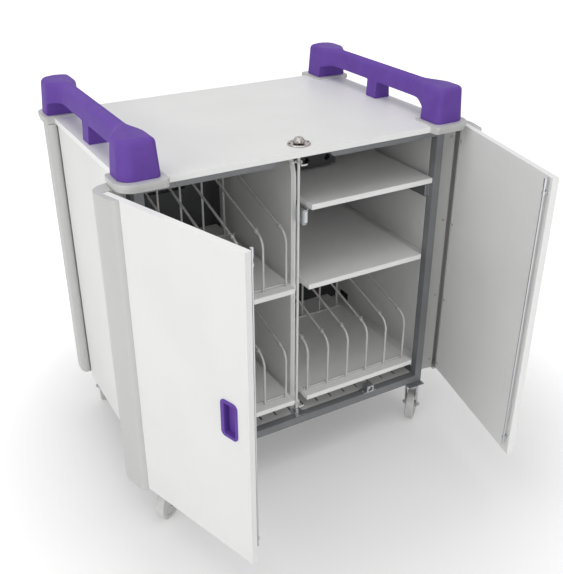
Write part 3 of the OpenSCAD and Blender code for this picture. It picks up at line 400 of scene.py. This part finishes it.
# %% Plated parts, lock and wheels
dress(zinc, "zinc_steel", ("runner_channels", "runner_slides", "shelf_slides", "rod_guide", "pivot_pins",
      "caster_plates", "door_catches", "keeper_bar_left", "keeper_bar_right"), radius_mm=0.3)
dress(rod_coat, "coated_wire", ("lock_rod",), radius_mm=0.3)
dress(zinc, "zinc_steel", ("caster_fork_fl", "caster_fork_fr", "caster_fork_rl", "caster_fork_rr"),
      radius_mm=0.4)
dress(satin_nickel, "chrome_lock", ("lock_escutcheon", "lock_knob", "rear_lock_left", "rear_lock_right"),
      radius_mm=0.4)
dress(tread, "wheel_plastic", ("wheel_fl", "wheel_fr", "wheel_rl", "wheel_rr"), radius_mm=0.5)

# %% [markdown]
# ### Painted shade under the base plate
# The base plate's slots are to show as dark lines, where the shade under the plate
# shows through them. So a thin black sheet with rounded corners is put under the
# plate as painted shade. A subdivided sheet would do too, but one outline is enough,
# so one outline is drawn here and skinned at its lower and its upper height.

# %% Rings of points become a closed skin
def quarter_arc(cx, cy, radius, start, steps):
    """Points of a quarter circle that begins at the start angle in degrees."""
    turns = [math.radians(start + 90 * i / steps) for i in range(steps + 1)]
    return [(cx + radius * math.cos(t), cy + radius * math.sin(t)) for t in turns]


def skin(form, rings, looped=False):
    """Joins rings of points by faces. They close on themselves or get two end caps."""
    rows = [[form.verts.new(p) for p in ring] for ring in rings]
    count = len(rings[0])
    for a, b in zip(rows, rows[1:] + rows[:1] if looped else rows[1:]):
        for i in range(count):
            j = (i + 1) % count
            form.faces.new((a[i], a[j], b[j], b[i]))
    if not looped:
        form.faces.new(rows[0])
        form.faces.new(list(reversed(rows[-1])))


def shell(name, form, sharp=None):
    """Turns the faces outwards and makes an object, smooth up to that angle in degrees."""
    bmesh.ops.recalc_face_normals(form, faces=form.faces)
    mesh = bpy.data.meshes.new(name)
    form.to_mesh(mesh)
    form.free()
    if sharp:
        mesh.shade_smooth()
        mesh.set_sharp_from_angle(angle=math.radians(sharp))
    return link(name, mesh)


print("a quarter circle has", len(quarter_arc(0, 0, 1, 0, 6)), "points")

# %% Painted shade sheet
# Painted shade: a black sheet that darkens the slots as the shade under the plate
# would. It has no highlight at all, and a fuzz of 1.2 mm keeps it from looking like paint.
shade_black = surface("painted_shade_sheet_black", "#202122", 0.95)
grain(shade_black, size_mm=1.2, height_mm=0.25, detail=4.0)
mottle(shade_black, 6, "#1B1C1D", "#272829")
SHEET_IN, SHEET_R, SHEET_T, SHEET_STEPS = 4 * MM, 12 * MM, 1.5 * MM, 6


def shade_sheet_outline(low, high):
    """The painted shade sheet's rounded rectangle inside the plate's two corners, as (x, y) points."""
    points = []
    for sx, sy, start in ((1, 1, 0), (-1, 1, 90), (-1, -1, 180), (1, -1, 270)):
        cx = (high.x if sx > 0 else low.x) - sx * (SHEET_IN + SHEET_R)
        cy = (high.y if sy > 0 else low.y) - sy * (SHEET_IN + SHEET_R)
        points += quarter_arc(cx, cy, SHEET_R, start, SHEET_STEPS)
    return points


# The black sheet of painted shade lies just under the plate and darkens its slots.
low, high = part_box("base_plate")
form = bmesh.new()
skin(form, [[(x, y, z) for x, y in shade_sheet_outline(low, high)] for z in (low.z - SHEET_T, low.z)])
shade_piece = finish_piece(shell("dust_mat", form), body_of("base_plate"), shade_black, "black_plastic")
print("painted shade sheet", [round(v, 3) for v in shade_piece.dimensions])

# %% [markdown]
# ## Grab handles
# Each handle is one moulding, a bar that flares into two feet with a leg in its
# middle. Subdivision modelling could make it by eye. A loft is used, because the
# form follows a rule: a ring of points stands at each station along the handle,
# and the station's distance from the middle gives the ring its width, height and
# corner radii.

# %% Sizes of a handle in millimetres
# x runs outwards from the cart's middle, y along the handle, z up from the worktop.
HANDLE = dict(foot_x0=403, foot_x1=506, foot_y0=272, foot_y1=347, grab_x0=424, grab_x1=477,
              top=104, height=101, gap=50, leg=24, fillet=8, foot_edge=13, bar_outer=24, bar_inner=12,
              under=4, outer_r=34, inner_r=14, flare_in=65, flare_out=10, arch_l=80, arch_h=18,
              draft=7, crown=2, flange=5, step=0.5)
# Steps round a ring and along the curves, and the stops along the straight stretches.
LOW_STEPS, TOP_STEPS, CROWN_STEPS = 3, 10, 6
CORNER_STEPS, ARCH_STEPS, FLARE_STEPS = 12, 20, 3
LEG_STOP, BAR_STOPS = 10, [60, 100, 140, 170]
print("handle length", 2 * HANDLE["foot_y1"], "mm")

# %% The curves that shape it
def clamp(t):
    return max(0.0, min(1.0, t))


def ease(t):
    return clamp(t) ** 2 * (3 - 2 * clamp(t))


def mix(a, b, t):
    return a + (b - a) * t


def set_in(d, r):
    """How far a corner of radius r has drawn in at the distance d from the end."""
    return r - math.sqrt(max(0.0, r * r - (r - d) ** 2)) if d < r else 0.0


def underside(a, h=HANDLE):
    """Height of the handle's lower face at a millimetres from its middle."""
    if a >= h["foot_y0"]:
        return h["flange"]
    if a <= h["leg"]:
        return 0.0
    arch = h["arch_h"] * set_in(1 - clamp((a - h["foot_y0"] + h["arch_l"]) / h["arch_l"]), 1)
    return h["gap"] - arch - set_in(a - h["leg"], h["fillet"])


print("room for fingers", round(underside(BAR_STOPS[1])), "mm")

# %% One ring of the handle
def handle_ring(y, h=HANDLE):
    """The outline of the handle at y millimetres from its middle, as (x, z) points."""
    a = abs(y)
    end = h["foot_y1"] - a
    f = ease((a - h["foot_y0"] + h["flare_in"]) / (h["flare_in"] + h["flare_out"]))
    x0 = mix(h["grab_x0"], h["foot_x0"], f) + set_in(end, h["inner_r"])
    x1 = mix(h["grab_x1"], h["foot_x1"], f) - set_in(end, h["outer_r"])
    z0, z1 = underside(a), mix(h["top"], h["height"], f) - set_in(end, h["foot_edge"])
    outer, inner = (mix(h[r], h["foot_edge"], f) for r in ("bar_outer", "bar_inner"))
    low_lean, top_lean = (h["draft"] * z / h["height"] for z in (z0, z1))
    u, right, left = h["under"], x1 - top_lean - outer, x0 + top_lean + inner
    ring = quarter_arc(x0 + low_lean + u, z0 + u, u, 180, LOW_STEPS)
    ring += quarter_arc(x1 - low_lean - u, z0 + u, u, 270, LOW_STEPS)
    ring += quarter_arc(right, z1 - outer, outer, 0, TOP_STEPS)
    for i in range(1, CROWN_STEPS):
        t = i / CROWN_STEPS
        ring.append((mix(right, left, t), z1 + h["crown"] * math.sin(math.pi * t)))
    return ring + quarter_arc(left, z1 - inner, inner, 90, TOP_STEPS)


print("points a ring", len(handle_ring(0)))

# %% Where the rings stand
def stations(h=HANDLE):
    """Distances from the middle, close together where the shape turns."""
    quarter = [math.pi / 2 * i / CORNER_STEPS for i in range(CORNER_STEPS + 1)]
    rounding = quarter[CORNER_STEPS // 3:]
    half = [0, LEG_STOP, h["leg"], h["leg"] + h["step"]]
    half += [h["leg"] + h["fillet"] * (1 - math.cos(t)) for t in rounding] + BAR_STOPS
    start, reach = h["foot_y0"] - h["arch_l"], h["arch_l"] - h["step"]
    half += [start + reach * i / ARCH_STEPS for i in range(ARCH_STEPS + 1)]
    half += [h["foot_y0"] + h["flare_out"] * i / FLARE_STEPS for i in range(FLARE_STEPS + 1)]
    half += [h["foot_y1"] - h["outer_r"] * (1 - math.cos(t)) for t in reversed(quarter)]
    return [-y for y in reversed(half[1:])] + half


print("stations", len(stations()))

# %% Loft both handles
low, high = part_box("worktop")
mid_y, top_z = (low.y + high.y) / 2, high.z
for side, node in ((-1, "handle_left"), (1, "handle_right")):
    rings = []
    for y in stations():
        ring = [(side * x * MM, y * MM + mid_y, z * MM + top_z) for x, z in handle_ring(y)]
        rings.append(ring if side > 0 else ring[::-1])
    form = bmesh.new()
    skin(form, rings)
    handle = shell(node + "_moulding", form, sharp=50)
    finish_piece(handle, body_of(node), handle_plastic, "handle_plastic", node)
    print(node, len(handle.data.polygons), "faces")

# %% [markdown]
# ## Wire racks
# A rack is a row of bent wire dividers welded on two cross wires. Each wire could
# be a curve of its own. But they are all alike, so one divider is a line of four
# points whose corners Geometry Nodes fillets and sweeps with a round section, and
# the same tree repeats it at the rack's pitch.

# %% Tools for a tree
def new_tree(name, sockets):
    """An empty Geometry Nodes tree with named inputs."""
    tree = bpy.data.node_groups.new(name, "GeometryNodeTree")
    tree.interface.new_socket(name="Geometry", in_out="INPUT", socket_type="NodeSocketGeometry")
    for label, kind, value in sockets:
        made = tree.interface.new_socket(name=label, in_out="INPUT", socket_type="NodeSocket" + kind)
        if value is not None:
            made.default_value = value
    tree.interface.new_socket(name="Geometry", in_out="OUTPUT", socket_type="NodeSocketGeometry")
    return tree, add(tree, "NodeGroupInput"), add(tree, "NodeGroupOutput")


def close_tree(tree, result, out, material):
    """Ends a tree with real geometry, shaded smooth and with its material. Ends a tree
    as the export needs it: real geometry with its material.
    """
    real = add(tree, "GeometryNodeRealizeInstances", {"Geometry": result})
    smooth = add(tree, "GeometryNodeSetShadeSmooth", {"Geometry": real.outputs["Geometry"],
                 "Shade Smooth": True})
    painted = add(tree, "GeometryNodeSetMaterial", {"Geometry": smooth.outputs["Geometry"],
                  "Material": material})
    tree.links.new(painted.outputs["Geometry"], out.inputs["Geometry"])
    print("tree", tree.name, len(tree.nodes), "nodes")


def grow(name, source, tree, settings):
    """Runs a tree on a mesh and returns the result as a plain mesh object."""
    holder = link(name + "_holder", source)
    run = holder.modifiers.new("grow", "NODES")
    run.node_group = tree
    ids = {i.name: i.identifier for i in tree.interface.items_tree if i.in_out == "INPUT"}
    for label, value in settings.items():
        run[ids[label]] = value
    return link(name, settle(holder))


# %% A tree for a row of bent wires
RACKS = ("rack_mid_left", "rack_low_left", "rack_low_right")
WIRES, WIRE_R, FRONT_BEND, REAR_BEND = 6, 3.5 * MM, 40 * MM, 30 * MM
WIRE_SIDES, BEND_STEPS = 12, 10
wire_tree, given, out = new_tree("bent_wire_row", (
    ("Wire radius", "Float", WIRE_R), ("Front bend", "Float", FRONT_BEND), ("Rear bend", "Float", REAR_BEND),
    ("Pitch", "Float", None), ("Count", "Int", WIRES)))
path = add(wire_tree, "GeometryNodeMeshToCurve", {"Mesh": given.outputs["Geometry"]})
index = add(wire_tree, "GeometryNodeInputIndex")
is_rear = add(wire_tree, "FunctionNodeCompare", {"A": index.outputs["Index"], "B": 1},
              data_type="INT", operation="GREATER_THAN")
bend = add(wire_tree, "GeometryNodeSwitch", {"Switch": is_rear.outputs["Result"],
           "False": given.outputs["Front bend"], "True": given.outputs["Rear bend"]}, input_type="FLOAT")
bent = add(wire_tree, "GeometryNodeFilletCurve", {"Curve": path.outputs["Curve"],
           "Radius": bend.outputs["Output"], "Count": BEND_STEPS}, mode="POLY")
section = add(wire_tree, "GeometryNodeCurvePrimitiveCircle", {"Resolution": WIRE_SIDES,
              "Radius": given.outputs["Wire radius"]})
swept = add(wire_tree, "GeometryNodeCurveToMesh", {"Curve": bent.outputs["Curve"],
            "Profile Curve": section.outputs["Curve"], "Fill Caps": True})
step = add(wire_tree, "ShaderNodeCombineXYZ", {"X": given.outputs["Pitch"]})
places = add(wire_tree, "GeometryNodeMeshLine", {"Count": given.outputs["Count"],
             "Offset": step.outputs["Vector"]})
row = add(wire_tree, "GeometryNodeInstanceOnPoints", {"Points": places.outputs["Mesh"],
          "Instance": swept.outputs["Mesh"]})
close_tree(wire_tree, row.outputs["Instances"], out, wire_coat)

# %% Grow the three racks
RISE = math.radians(15)
FRONT_H, OVERHANG, SEAT = 160 * MM, 10 * MM, 0.3 * MM


def rack_pitch(low, high):
    return (high.x - low.x - 2 * OVERHANG) / (WIRES - 1)


def wire_path(name, low, high):
    """One divider's line: up at the front, up the slope to the back, and down."""
    x, front, back = low.x + OVERHANG, low.y + WIRE_R, high.y - WIRE_R
    rear_h = FRONT_H + (back - front) * math.tan(RISE)
    mesh = bpy.data.meshes.new(name)
    mesh.from_pydata([(x, front, low.z), (x, front, low.z + FRONT_H), (x, back, low.z + rear_h),
                      (x, back, low.z)], [(0, 1), (1, 2), (2, 3)], [])
    return mesh


def cross_wires(mesh, low, high):
    """Adds the two straight wires that tie the dividers together, just inside their feet."""
    form = bmesh.new()
    form.from_mesh(mesh)
    inside = WIRE_R + 2 * WIRE_R + SEAT
    for y in (low.y + inside, high.y - inside):
        made = bmesh.ops.create_cone(form, cap_ends=True, segments=WIRE_SIDES, radius1=WIRE_R,
                                     radius2=WIRE_R, depth=high.x - low.x)["verts"]
        bmesh.ops.rotate(form, verts=made, matrix=Matrix.Rotation(math.pi / 2, 3, "Y"))
        bmesh.ops.translate(form, verts=made, vec=((low.x + high.x) / 2, y, low.z + WIRE_R + SEAT))
    form.to_mesh(mesh)
    form.free()


for node in RACKS:
    low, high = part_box(node)
    pitch = rack_pitch(low, high)
    wires = grow(node + "_wires", wire_path(node + "_path", low, high), wire_tree,
                 {"Wire radius": WIRE_R, "Pitch": pitch, "Count": WIRES})
    cross_wires(wires.data, low, high)
    wires.data.shade_smooth()
    wires.data.set_sharp_from_angle(angle=math.radians(50))
    finish_piece(wires, body_of(node), wire_coat, "coated_wire", node)
    print(node, len(wires.data.polygons), "faces", "pitch", round(pitch / MM, 2), "mm")

# %% [markdown]
# ### Clips on the racks
# The photograph shows a small pale clip on some of the wires, just behind the
# front bend. Such a clip is moulded nylon, a sleeve that snaps on the wire with an
# open ring on top. One is drawn round its own axis, as two skins of rings, and
# Geometry Nodes sets it on each wire, tipped to the wire's slope. That is surer
# than placing eighteen by hand.

# %% One clip
# Natural nylon: milky and slightly glossy, a shade darker than the wire that it sits on.
# The tool's grain is too fine to show, so it is drawn at 0.8 mm.
nylon = surface("nylon_moulded_natural", "#C4C4C0", 0.42)
grain(nylon, size_mm=0.8, height_mm=0.02)
mottle(nylon, 12, "#C0C0BC", "#C9C9C5")
GRIP, CLIP_WALL, CLIP_LENGTH, RING_R, RING_T = 0.05 * MM, 1.5 * MM, 11 * MM, 4 * MM, 1.1 * MM
# The sleeve's chamfer as a share of its wall, the ring's height over the sleeve as a
# share of its radius, and the width of its section as a share of the thickness.
EDGE_SHARE, SINK_SHARE, FLAT_SHARE = 0.4, 0.85, 1.6
SLEEVE_SIDES, RING_SIDES, RING_STEPS = 14, 8, 12
# The ring begins left of its mouth and goes round by this many degrees.
RING_START, RING_SWEEP = 125, 290


def sleeve_rings(inner, outer):
    """Outlines of the sleeve's wall, one for each turn about the y axis."""
    half, edge = CLIP_LENGTH / 2, CLIP_WALL * EDGE_SHARE
    wall = [(inner, -half), (outer - edge, -half), (outer, edge - half), (outer, half - edge),
            (outer - edge, half), (inner, half)]
    turns = [2 * math.pi * k / SLEEVE_SIDES for k in range(SLEEVE_SIDES)]
    return [[(r * math.cos(t), y, r * math.sin(t)) for r, y in wall] for t in turns]


def open_ring(height):
    """Outlines of the ring's section along its sweep, its mouth upwards."""
    rings = []
    for k in range(RING_STEPS + 1):
        t = math.radians(RING_START + RING_SWEEP * k / RING_STEPS)
        ring = []
        for i in range(RING_SIDES):
            u = 2 * math.pi * i / RING_SIDES
            r = RING_R + RING_T * math.cos(u)
            ring.append((r * math.cos(t), RING_T * FLAT_SHARE * math.sin(u), height + r * math.sin(t)))
        rings.append(ring)
    return rings


inner = WIRE_R + GRIP
outer = inner + CLIP_WALL
form = bmesh.new()
skin(form, sleeve_rings(inner, outer), looped=True)
skin(form, open_ring(outer + RING_R * SINK_SHARE))
clip = shell("clip_holder", form, sharp=50)
print("a clip has", len(clip.data.polygons), "faces")

# %% A clip on every wire
clip_tree, given, out = new_tree("rack_clips", (("Clip", "Object", None), ("Slope", "Float", RISE)))
tip = add(clip_tree, "ShaderNodeCombineXYZ", {"X": given.outputs["Slope"]})
shape = add(clip_tree, "GeometryNodeObjectInfo", {"Object": given.outputs["Clip"]})
clips = add(clip_tree, "GeometryNodeInstanceOnPoints", {"Points": given.outputs["Geometry"],
            "Instance": shape.outputs["Geometry"], "Rotation": tip.outputs["Vector"]})
close_tree(clip_tree, clips.outputs["Instances"], out, nylon)
# The bend ends this far along the slope, and the clip sits a little behind it.
BEHIND_BEND = 9 * MM
reach = FRONT_BEND * math.tan((math.pi / 2 - RISE) / 2) + BEHIND_BEND
for node in RACKS:
    low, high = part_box(node)
    pitch = rack_pitch(low, high)
    y, z = low.y + WIRE_R + reach * math.cos(RISE), low.z + FRONT_H + reach * math.sin(RISE)
    seats = bpy.data.meshes.new(node + "_clip_places")
    seats.from_pydata([(low.x + OVERHANG + k * pitch, y, z) for k in range(WIRES)], [], [])
    made = grow(node + "_clips", seats, clip_tree, {"Clip": clip, "Slope": RISE})
    finish_piece(made, body_of(node), nylon, "collar_plastic")
    print(node, WIRES, "clips")
bpy.data.objects.remove(clip)

# %% [markdown]
# ## Screws
# Boards, catches, brackets and caster plates are held by pan-head screws with a
# cross recess. They are too small for the solids. A sphere cut in half would pass
# from afar, but the cross is what makes a screw, so one head of about fifty faces
# is drawn. Geometry Nodes sets a copy on every place and turns it the way that the
# place's own attribute points.

# %% One screw head
# Radius and height of each ring as shares of the head's, from its foot to its crown.
HEAD_SHARES = ((1, 0), (1, 0.35), (0.93, 0.7), (0.74, 1))
ARM_SHARE, REACH_SHARE, DEPTH_SHARE = 0.15, 0.56, 0.55
CORNERS = 12


def screw_head(name, radius, rise):
    """A pan head whose recess is a plus of twelve corners, one for each corner of its rim."""
    arm, reach, depth = ARM_SHARE * radius, REACH_SHARE * radius, DEPTH_SHARE * rise
    plus = []
    for c, d in ((1, 0), (0, 1), (-1, 0), (0, -1)):
        plus += [(c * x - d * y, d * x + c * y) for x, y in ((reach, -arm), (reach, arm), (arm, arm))]
    turns = [2 * math.pi * (i - 0.5) / CORNERS for i in range(CORNERS)]
    rings = [[(math.cos(t) * radius * k, math.sin(t) * radius * k, rise * z) for t in turns]
             for k, z in HEAD_SHARES]
    rings += [[(x, y, rise) for x, y in plus], [(x, y, rise - depth) for x, y in plus]]
    form = bmesh.new()
    skin(form, rings)
    return shell(name, form, sharp=40)


head = screw_head("pan_head_holder", radius=4 * MM, rise=2.2 * MM)
print("a screw head has", len(head.data.polygons), "faces")

# %% A tree that sets the heads in place
screw_tree, given, out = new_tree("screw_heads", (("Head", "Object", None), ("Size", "Float", 1.0)))
facing = add(screw_tree, "GeometryNodeInputNamedAttribute", {"Name": "facing"}, data_type="FLOAT_VECTOR")
turned = add(screw_tree, "FunctionNodeAlignRotationToVector", {"Vector": facing.outputs["Attribute"]},
             axis="Z")
shape = add(screw_tree, "GeometryNodeObjectInfo", {"Object": given.outputs["Head"]})
heads = add(screw_tree, "GeometryNodeInstanceOnPoints", {"Points": given.outputs["Geometry"],
            "Instance": shape.outputs["Geometry"], "Rotation": turned.outputs["Rotation"],
            "Scale": given.outputs["Size"]})
close_tree(screw_tree, heads.outputs["Instances"], out, zinc)


def screws(node, places, size=1.0, finish=zinc, slot="zinc_steel"):
    """Sets a screw at each (point, direction) on the body that holds the node."""
    mesh = bpy.data.meshes.new(node + "_screw_places")
    mesh.from_pydata([point for point, _ in places], [], [])
    aim = mesh.attributes.new("facing", "FLOAT_VECTOR", "POINT")
    for item, (_, way) in zip(aim.data, places):
        item.vector = way
    made = grow(node + "_screws", mesh, screw_tree, {"Head": head, "Size": size})
    print(node, len(places), "screws")
    return finish_piece(made, body_of(node), finish, slot)


# %% [markdown]
# ### Screws of the doors
# A door's board is screwed to its profile in four rows, and the profile to its
# hinge side. The places are written for a shut door, where they are easy to
# measure, and then turned about the hinge to the angle at which the door stands.

# %% Screws of the four doors
# Millimetres from the cart's middle, with the right front door shut.
PIVOT_X, PIVOT_Y, DOOR_IN, BOARD_EDGE, KNUCKLE = 493, -272, -315.3, 464, 17
SCREW_IN, BEHIND_PIVOT, STAGGER = 7, 20, 12
DOOR_ROWS = (202, 446, 708, 970)
LEFT_OPEN, RIGHT_OPEN = 72, 76.8
UP, DOWN = Vector((0, 0, 1)), Vector((0, 0, -1))


def on_door(side, back, opened, spot, way):
    """A place and direction on a door, given in the door's shut pose on the right."""
    a = math.radians(opened)
    c, d = math.cos(a), math.sin(a)
    x, y = spot[0] - PIVOT_X, spot[1] - PIVOT_Y
    px, py = PIVOT_X + c * x - d * y, PIVOT_Y + d * x + c * y
    wx, wy = c * way[0] - d * way[1], d * way[0] + c * way[1]
    flip = -1 if back else 1
    return Vector((side * px * MM, flip * py * MM + mid_y, spot[2] * MM)), Vector((side * wx, flip * wy, 0))


doors = (("door_panel_left", -1, False, LEFT_OPEN), ("door_panel_right", 1, False, RIGHT_OPEN),
         ("rear_door_left", -1, True, 0), ("rear_door_right", 1, True, 0))
for node, side, back, opened in doors:
    board_x, profile_x, profile_y = BOARD_EDGE - SCREW_IN, PIVOT_X - KNUCKLE, PIVOT_Y - BEHIND_PIVOT
    places = [on_door(side, back, opened, (board_x, DOOR_IN, z), (0, 1)) for z in DOOR_ROWS]
    places += [on_door(side, back, opened, (profile_x, profile_y, z + STAGGER), (-1, 0)) for z in DOOR_ROWS]
    screws(node, places)

# %% Screws of the keeper bars' ears
# Millimetres as above. A bar has an ear at each end, and its screw stands beside the bar.
BAR_X, BAR_ROWS, EAR_OUT, EAR_T, EAR_UP = 16, (232, 978), 11, 2.5, 4
for node, side, opened in (("keeper_bar_left", -1, LEFT_OPEN), ("keeper_bar_right", 1, RIGHT_OPEN)):
    places = [on_door(side, False, opened, (BAR_X + EAR_OUT, DOOR_IN + EAR_T, z + EAR_UP), (0, 1))
              for z in BAR_ROWS]
    screws(node, places, size=0.75)

# %% [markdown]
# ### Screws of the catches, casters and lock
# The two catches have two screws each, and each caster's plate has one in every
# corner, seen from below. The lock's plate has four small black ones on its lip,
# clear of the knob. All these places come from the boxes of their nodes, so they
# stay where they belong when a size changes.

# %% Catches and casters
CATCH_NEAR, CATCH_FAR, CATCH_IN, CATCH_T = 6 * MM, 44 * MM, 12 * MM, 2.5 * MM
low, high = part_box("door_catches")
across = (low.x + CATCH_NEAR, low.x + CATCH_FAR, high.x - CATCH_FAR, high.x - CATCH_NEAR)
screws("door_catches", [(Vector((x, high.y - CATCH_IN, low.z + CATCH_T)), UP) for x in across], size=0.8)
PLATE_X, PLATE_Y, PLATE_T = 60 * MM, 54 * MM, 3 * MM
HOLE_SHARES = (0.13, 0.87)
low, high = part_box("caster_plates")
places = [(Vector((x + sx * a * PLATE_X, y + sy * b * PLATE_Y, high.z - PLATE_T)), DOWN)
          for sx, x in ((1, low.x), (-1, high.x)) for sy, y in ((1, low.y), (-1, high.y))
          for a in HOLE_SHARES for b in HOLE_SHARES]
screws("caster_plates", places, size=1.1)

# %% Lock plate
SCREW_CIRCLE, LIP, LOCK_SCREWS, FIRST_TURN = 26.2 * MM, 4 * MM, 4, math.radians(-10)
low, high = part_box("lock_escutcheon")
centre = (low + high) / 2
places = []
for k in range(LOCK_SCREWS):
    a = FIRST_TURN + 2 * math.pi * k / LOCK_SCREWS
    at = (centre.x + SCREW_CIRCLE * math.cos(a), centre.y + SCREW_CIRCLE * math.sin(a), low.z + LIP)
    places.append((Vector(at), UP))
screws("lock_escutcheon", places, size=0.65, finish=blued)
bpy.data.objects.remove(head)

# %% [markdown]
# ## Camera
# The camera stands where the photographer's did, in front of the cart's left
# corner and above the worktop. Its place, its two angles and its focal length in
# pixels were fitted to corners that can be named on the cart and seen in the
# photograph. The lens shift moves the picture's centre without tilting anything.

# %% Camera
EYE_X, EYE_Y, EYE_Z = -1.0232, -2.0029, 0.6626
AZIMUTH, ELEVATION = math.radians(-29.635), math.radians(28.267)
IMAGE_W, IMAGE_H, FOCAL_PX, CENTRE_X, CENTRE_Y = 563, 574, 800.08, 283.85, 284.23
SENSOR, FLOOR_HALF = 36, 30
camera_data = bpy.data.cameras.new("camera")
camera = bpy.data.objects.new("camera", camera_data)
bpy.context.scene.collection.objects.link(camera)
camera.location = (EYE_X, EYE_Y + mid_y, EYE_Z + top_z)
ahead = Vector((-math.sin(AZIMUTH) * math.cos(ELEVATION), math.cos(AZIMUTH) * math.cos(ELEVATION),
                -math.sin(ELEVATION)))
camera.rotation_mode = "QUATERNION"
camera.rotation_quaternion = ahead.to_track_quat("-Z", "Y")
camera_data.sensor_width = SENSOR
camera_data.lens = FOCAL_PX * SENSOR / IMAGE_H
camera_data.shift_x = -(CENTRE_X - IMAGE_W / 2) / IMAGE_H
camera_data.shift_y = -(IMAGE_H / 2 - CENTRE_Y) / IMAGE_H
camera_data.clip_end = 2 * FLOOR_HALF
bpy.context.scene.camera = camera
print("camera", [round(v, 3) for v in camera.location], "lens", round(camera_data.lens, 2))

# %% [markdown]
# ## Floor and air
# The photograph's ground is plain white and fades into nothing, with the cart's
# shadow on it. Lamps strong enough to make it white would wash out the cart. So
# the floor glows a little, more with distance, and only for rays that come from
# the camera or off a shiny part. The air shows white to the same rays, and lights
# the cart at a low, even level.

# %% Floor
def seen_directly(tree):
    """One for rays from the camera or off a shiny surface, and nought for the rest."""
    rays = add(tree, "ShaderNodeLightPath")
    both = add(tree, "ShaderNodeMath", {0: rays.outputs["Is Camera Ray"], 1: rays.outputs["Is Glossy Ray"]},
               operation="MAXIMUM")
    return both.outputs[0]


# White paint: flat and a little grey, so that a shadow on it has room to be seen.
floor_paint = surface("white_painted_floor", "#E2E2E2", 0.6)
NEAR, FAR, NEAR_GLOW, FAR_GLOW = 0.5, 1.6, 0.23, 0.76
tree = floor_paint.node_tree
where = add(tree, "ShaderNodeTexCoord")
away = add(tree, "ShaderNodeVectorMath", {0: where.outputs["Object"]}, operation="LENGTH")
fade = add(tree, "ShaderNodeMapRange", {"Value": away.outputs["Value"], "From Min": NEAR, "From Max": FAR,
           "To Min": NEAR_GLOW, "To Max": FAR_GLOW}, interpolation_type="SMOOTHSTEP")
lift = add(tree, "ShaderNodeMath", {0: seen_directly(tree), 1: fade.outputs["Result"]}, operation="MULTIPLY")
glow = add(tree, "ShaderNodeEmission", {"Color": (1, 1, 1, 1), "Strength": lift.outputs[0]})
base = tree.nodes["Principled BSDF"]
both = add(tree, "ShaderNodeAddShader", {0: base.outputs["BSDF"], 1: glow.outputs["Emission"]})
tree.links.new(both.outputs["Shader"], tree.nodes["Material Output"].inputs["Surface"])
floor_mesh = bpy.data.meshes.new("floor")
R = FLOOR_HALF
floor_mesh.from_pydata([(-R, -R, 0), (R, -R, 0), (R, R, 0), (-R, R, 0)], [], [(0, 1, 2, 3)])
floor = link("floor", floor_mesh)
floor.data.materials.append(floor_paint)
print("floor", 2 * FLOOR_HALF, "m square")

# %% Air
AIR, WHITE = 0.3, 1.0
world = bpy.data.worlds.new("studio_air")
bpy.context.scene.world = world
world.use_nodes = True
air_tree = world.node_tree
strength = add(air_tree, "ShaderNodeMapRange", {"Value": seen_directly(air_tree), "To Min": AIR,
               "To Max": WHITE})
air = air_tree.nodes["Background"]
air.inputs["Color"].default_value = (1, 1, 1, 1)
air_tree.links.new(strength.outputs["Result"], air.inputs["Strength"])
print("air lights at", AIR, "and shows at", WHITE)

# %% [markdown]
# ## Lamps
# The photograph has soft light from the left, from above and from the front, with
# no hard edge in any shadow. Three large square area lamps give that. Small lamps
# would draw hard shadows of the handles across the worktop.

# %% Three soft boxes
def soft_box(name, place, aim, size, power):
    """A square area lamp at place, turned to aim."""
    lamp = bpy.data.lights.new(name, "AREA")
    lamp.shape, lamp.size, lamp.energy = "SQUARE", size, power
    made = bpy.data.objects.new(name, lamp)
    made.location = place
    made.rotation_mode = "QUATERNION"
    made.rotation_quaternion = (Vector(aim) - Vector(place)).to_track_quat("-Z", "Y")
    bpy.context.scene.collection.objects.link(made)
    print(name, size, "m wide", power, "W")


soft_box("left_box", place=(-4.5, -1.4, 2.2), aim=(0, 0.1, 0.6), size=3.2, power=80)
soft_box("overhead_box", place=(-0.6, -0.3, 4.6), aim=(0, 0.2, 0), size=4.5, power=84)
soft_box("front_box", place=(0.4, -6.0, 1.0), aim=(0.2, 0, 0.7), size=2.2, power=70)

# %% [markdown]
# ## View
# The Standard view shows a colour about as it is written.

# %% View
bpy.context.scene.view_settings.view_transform = "Standard"
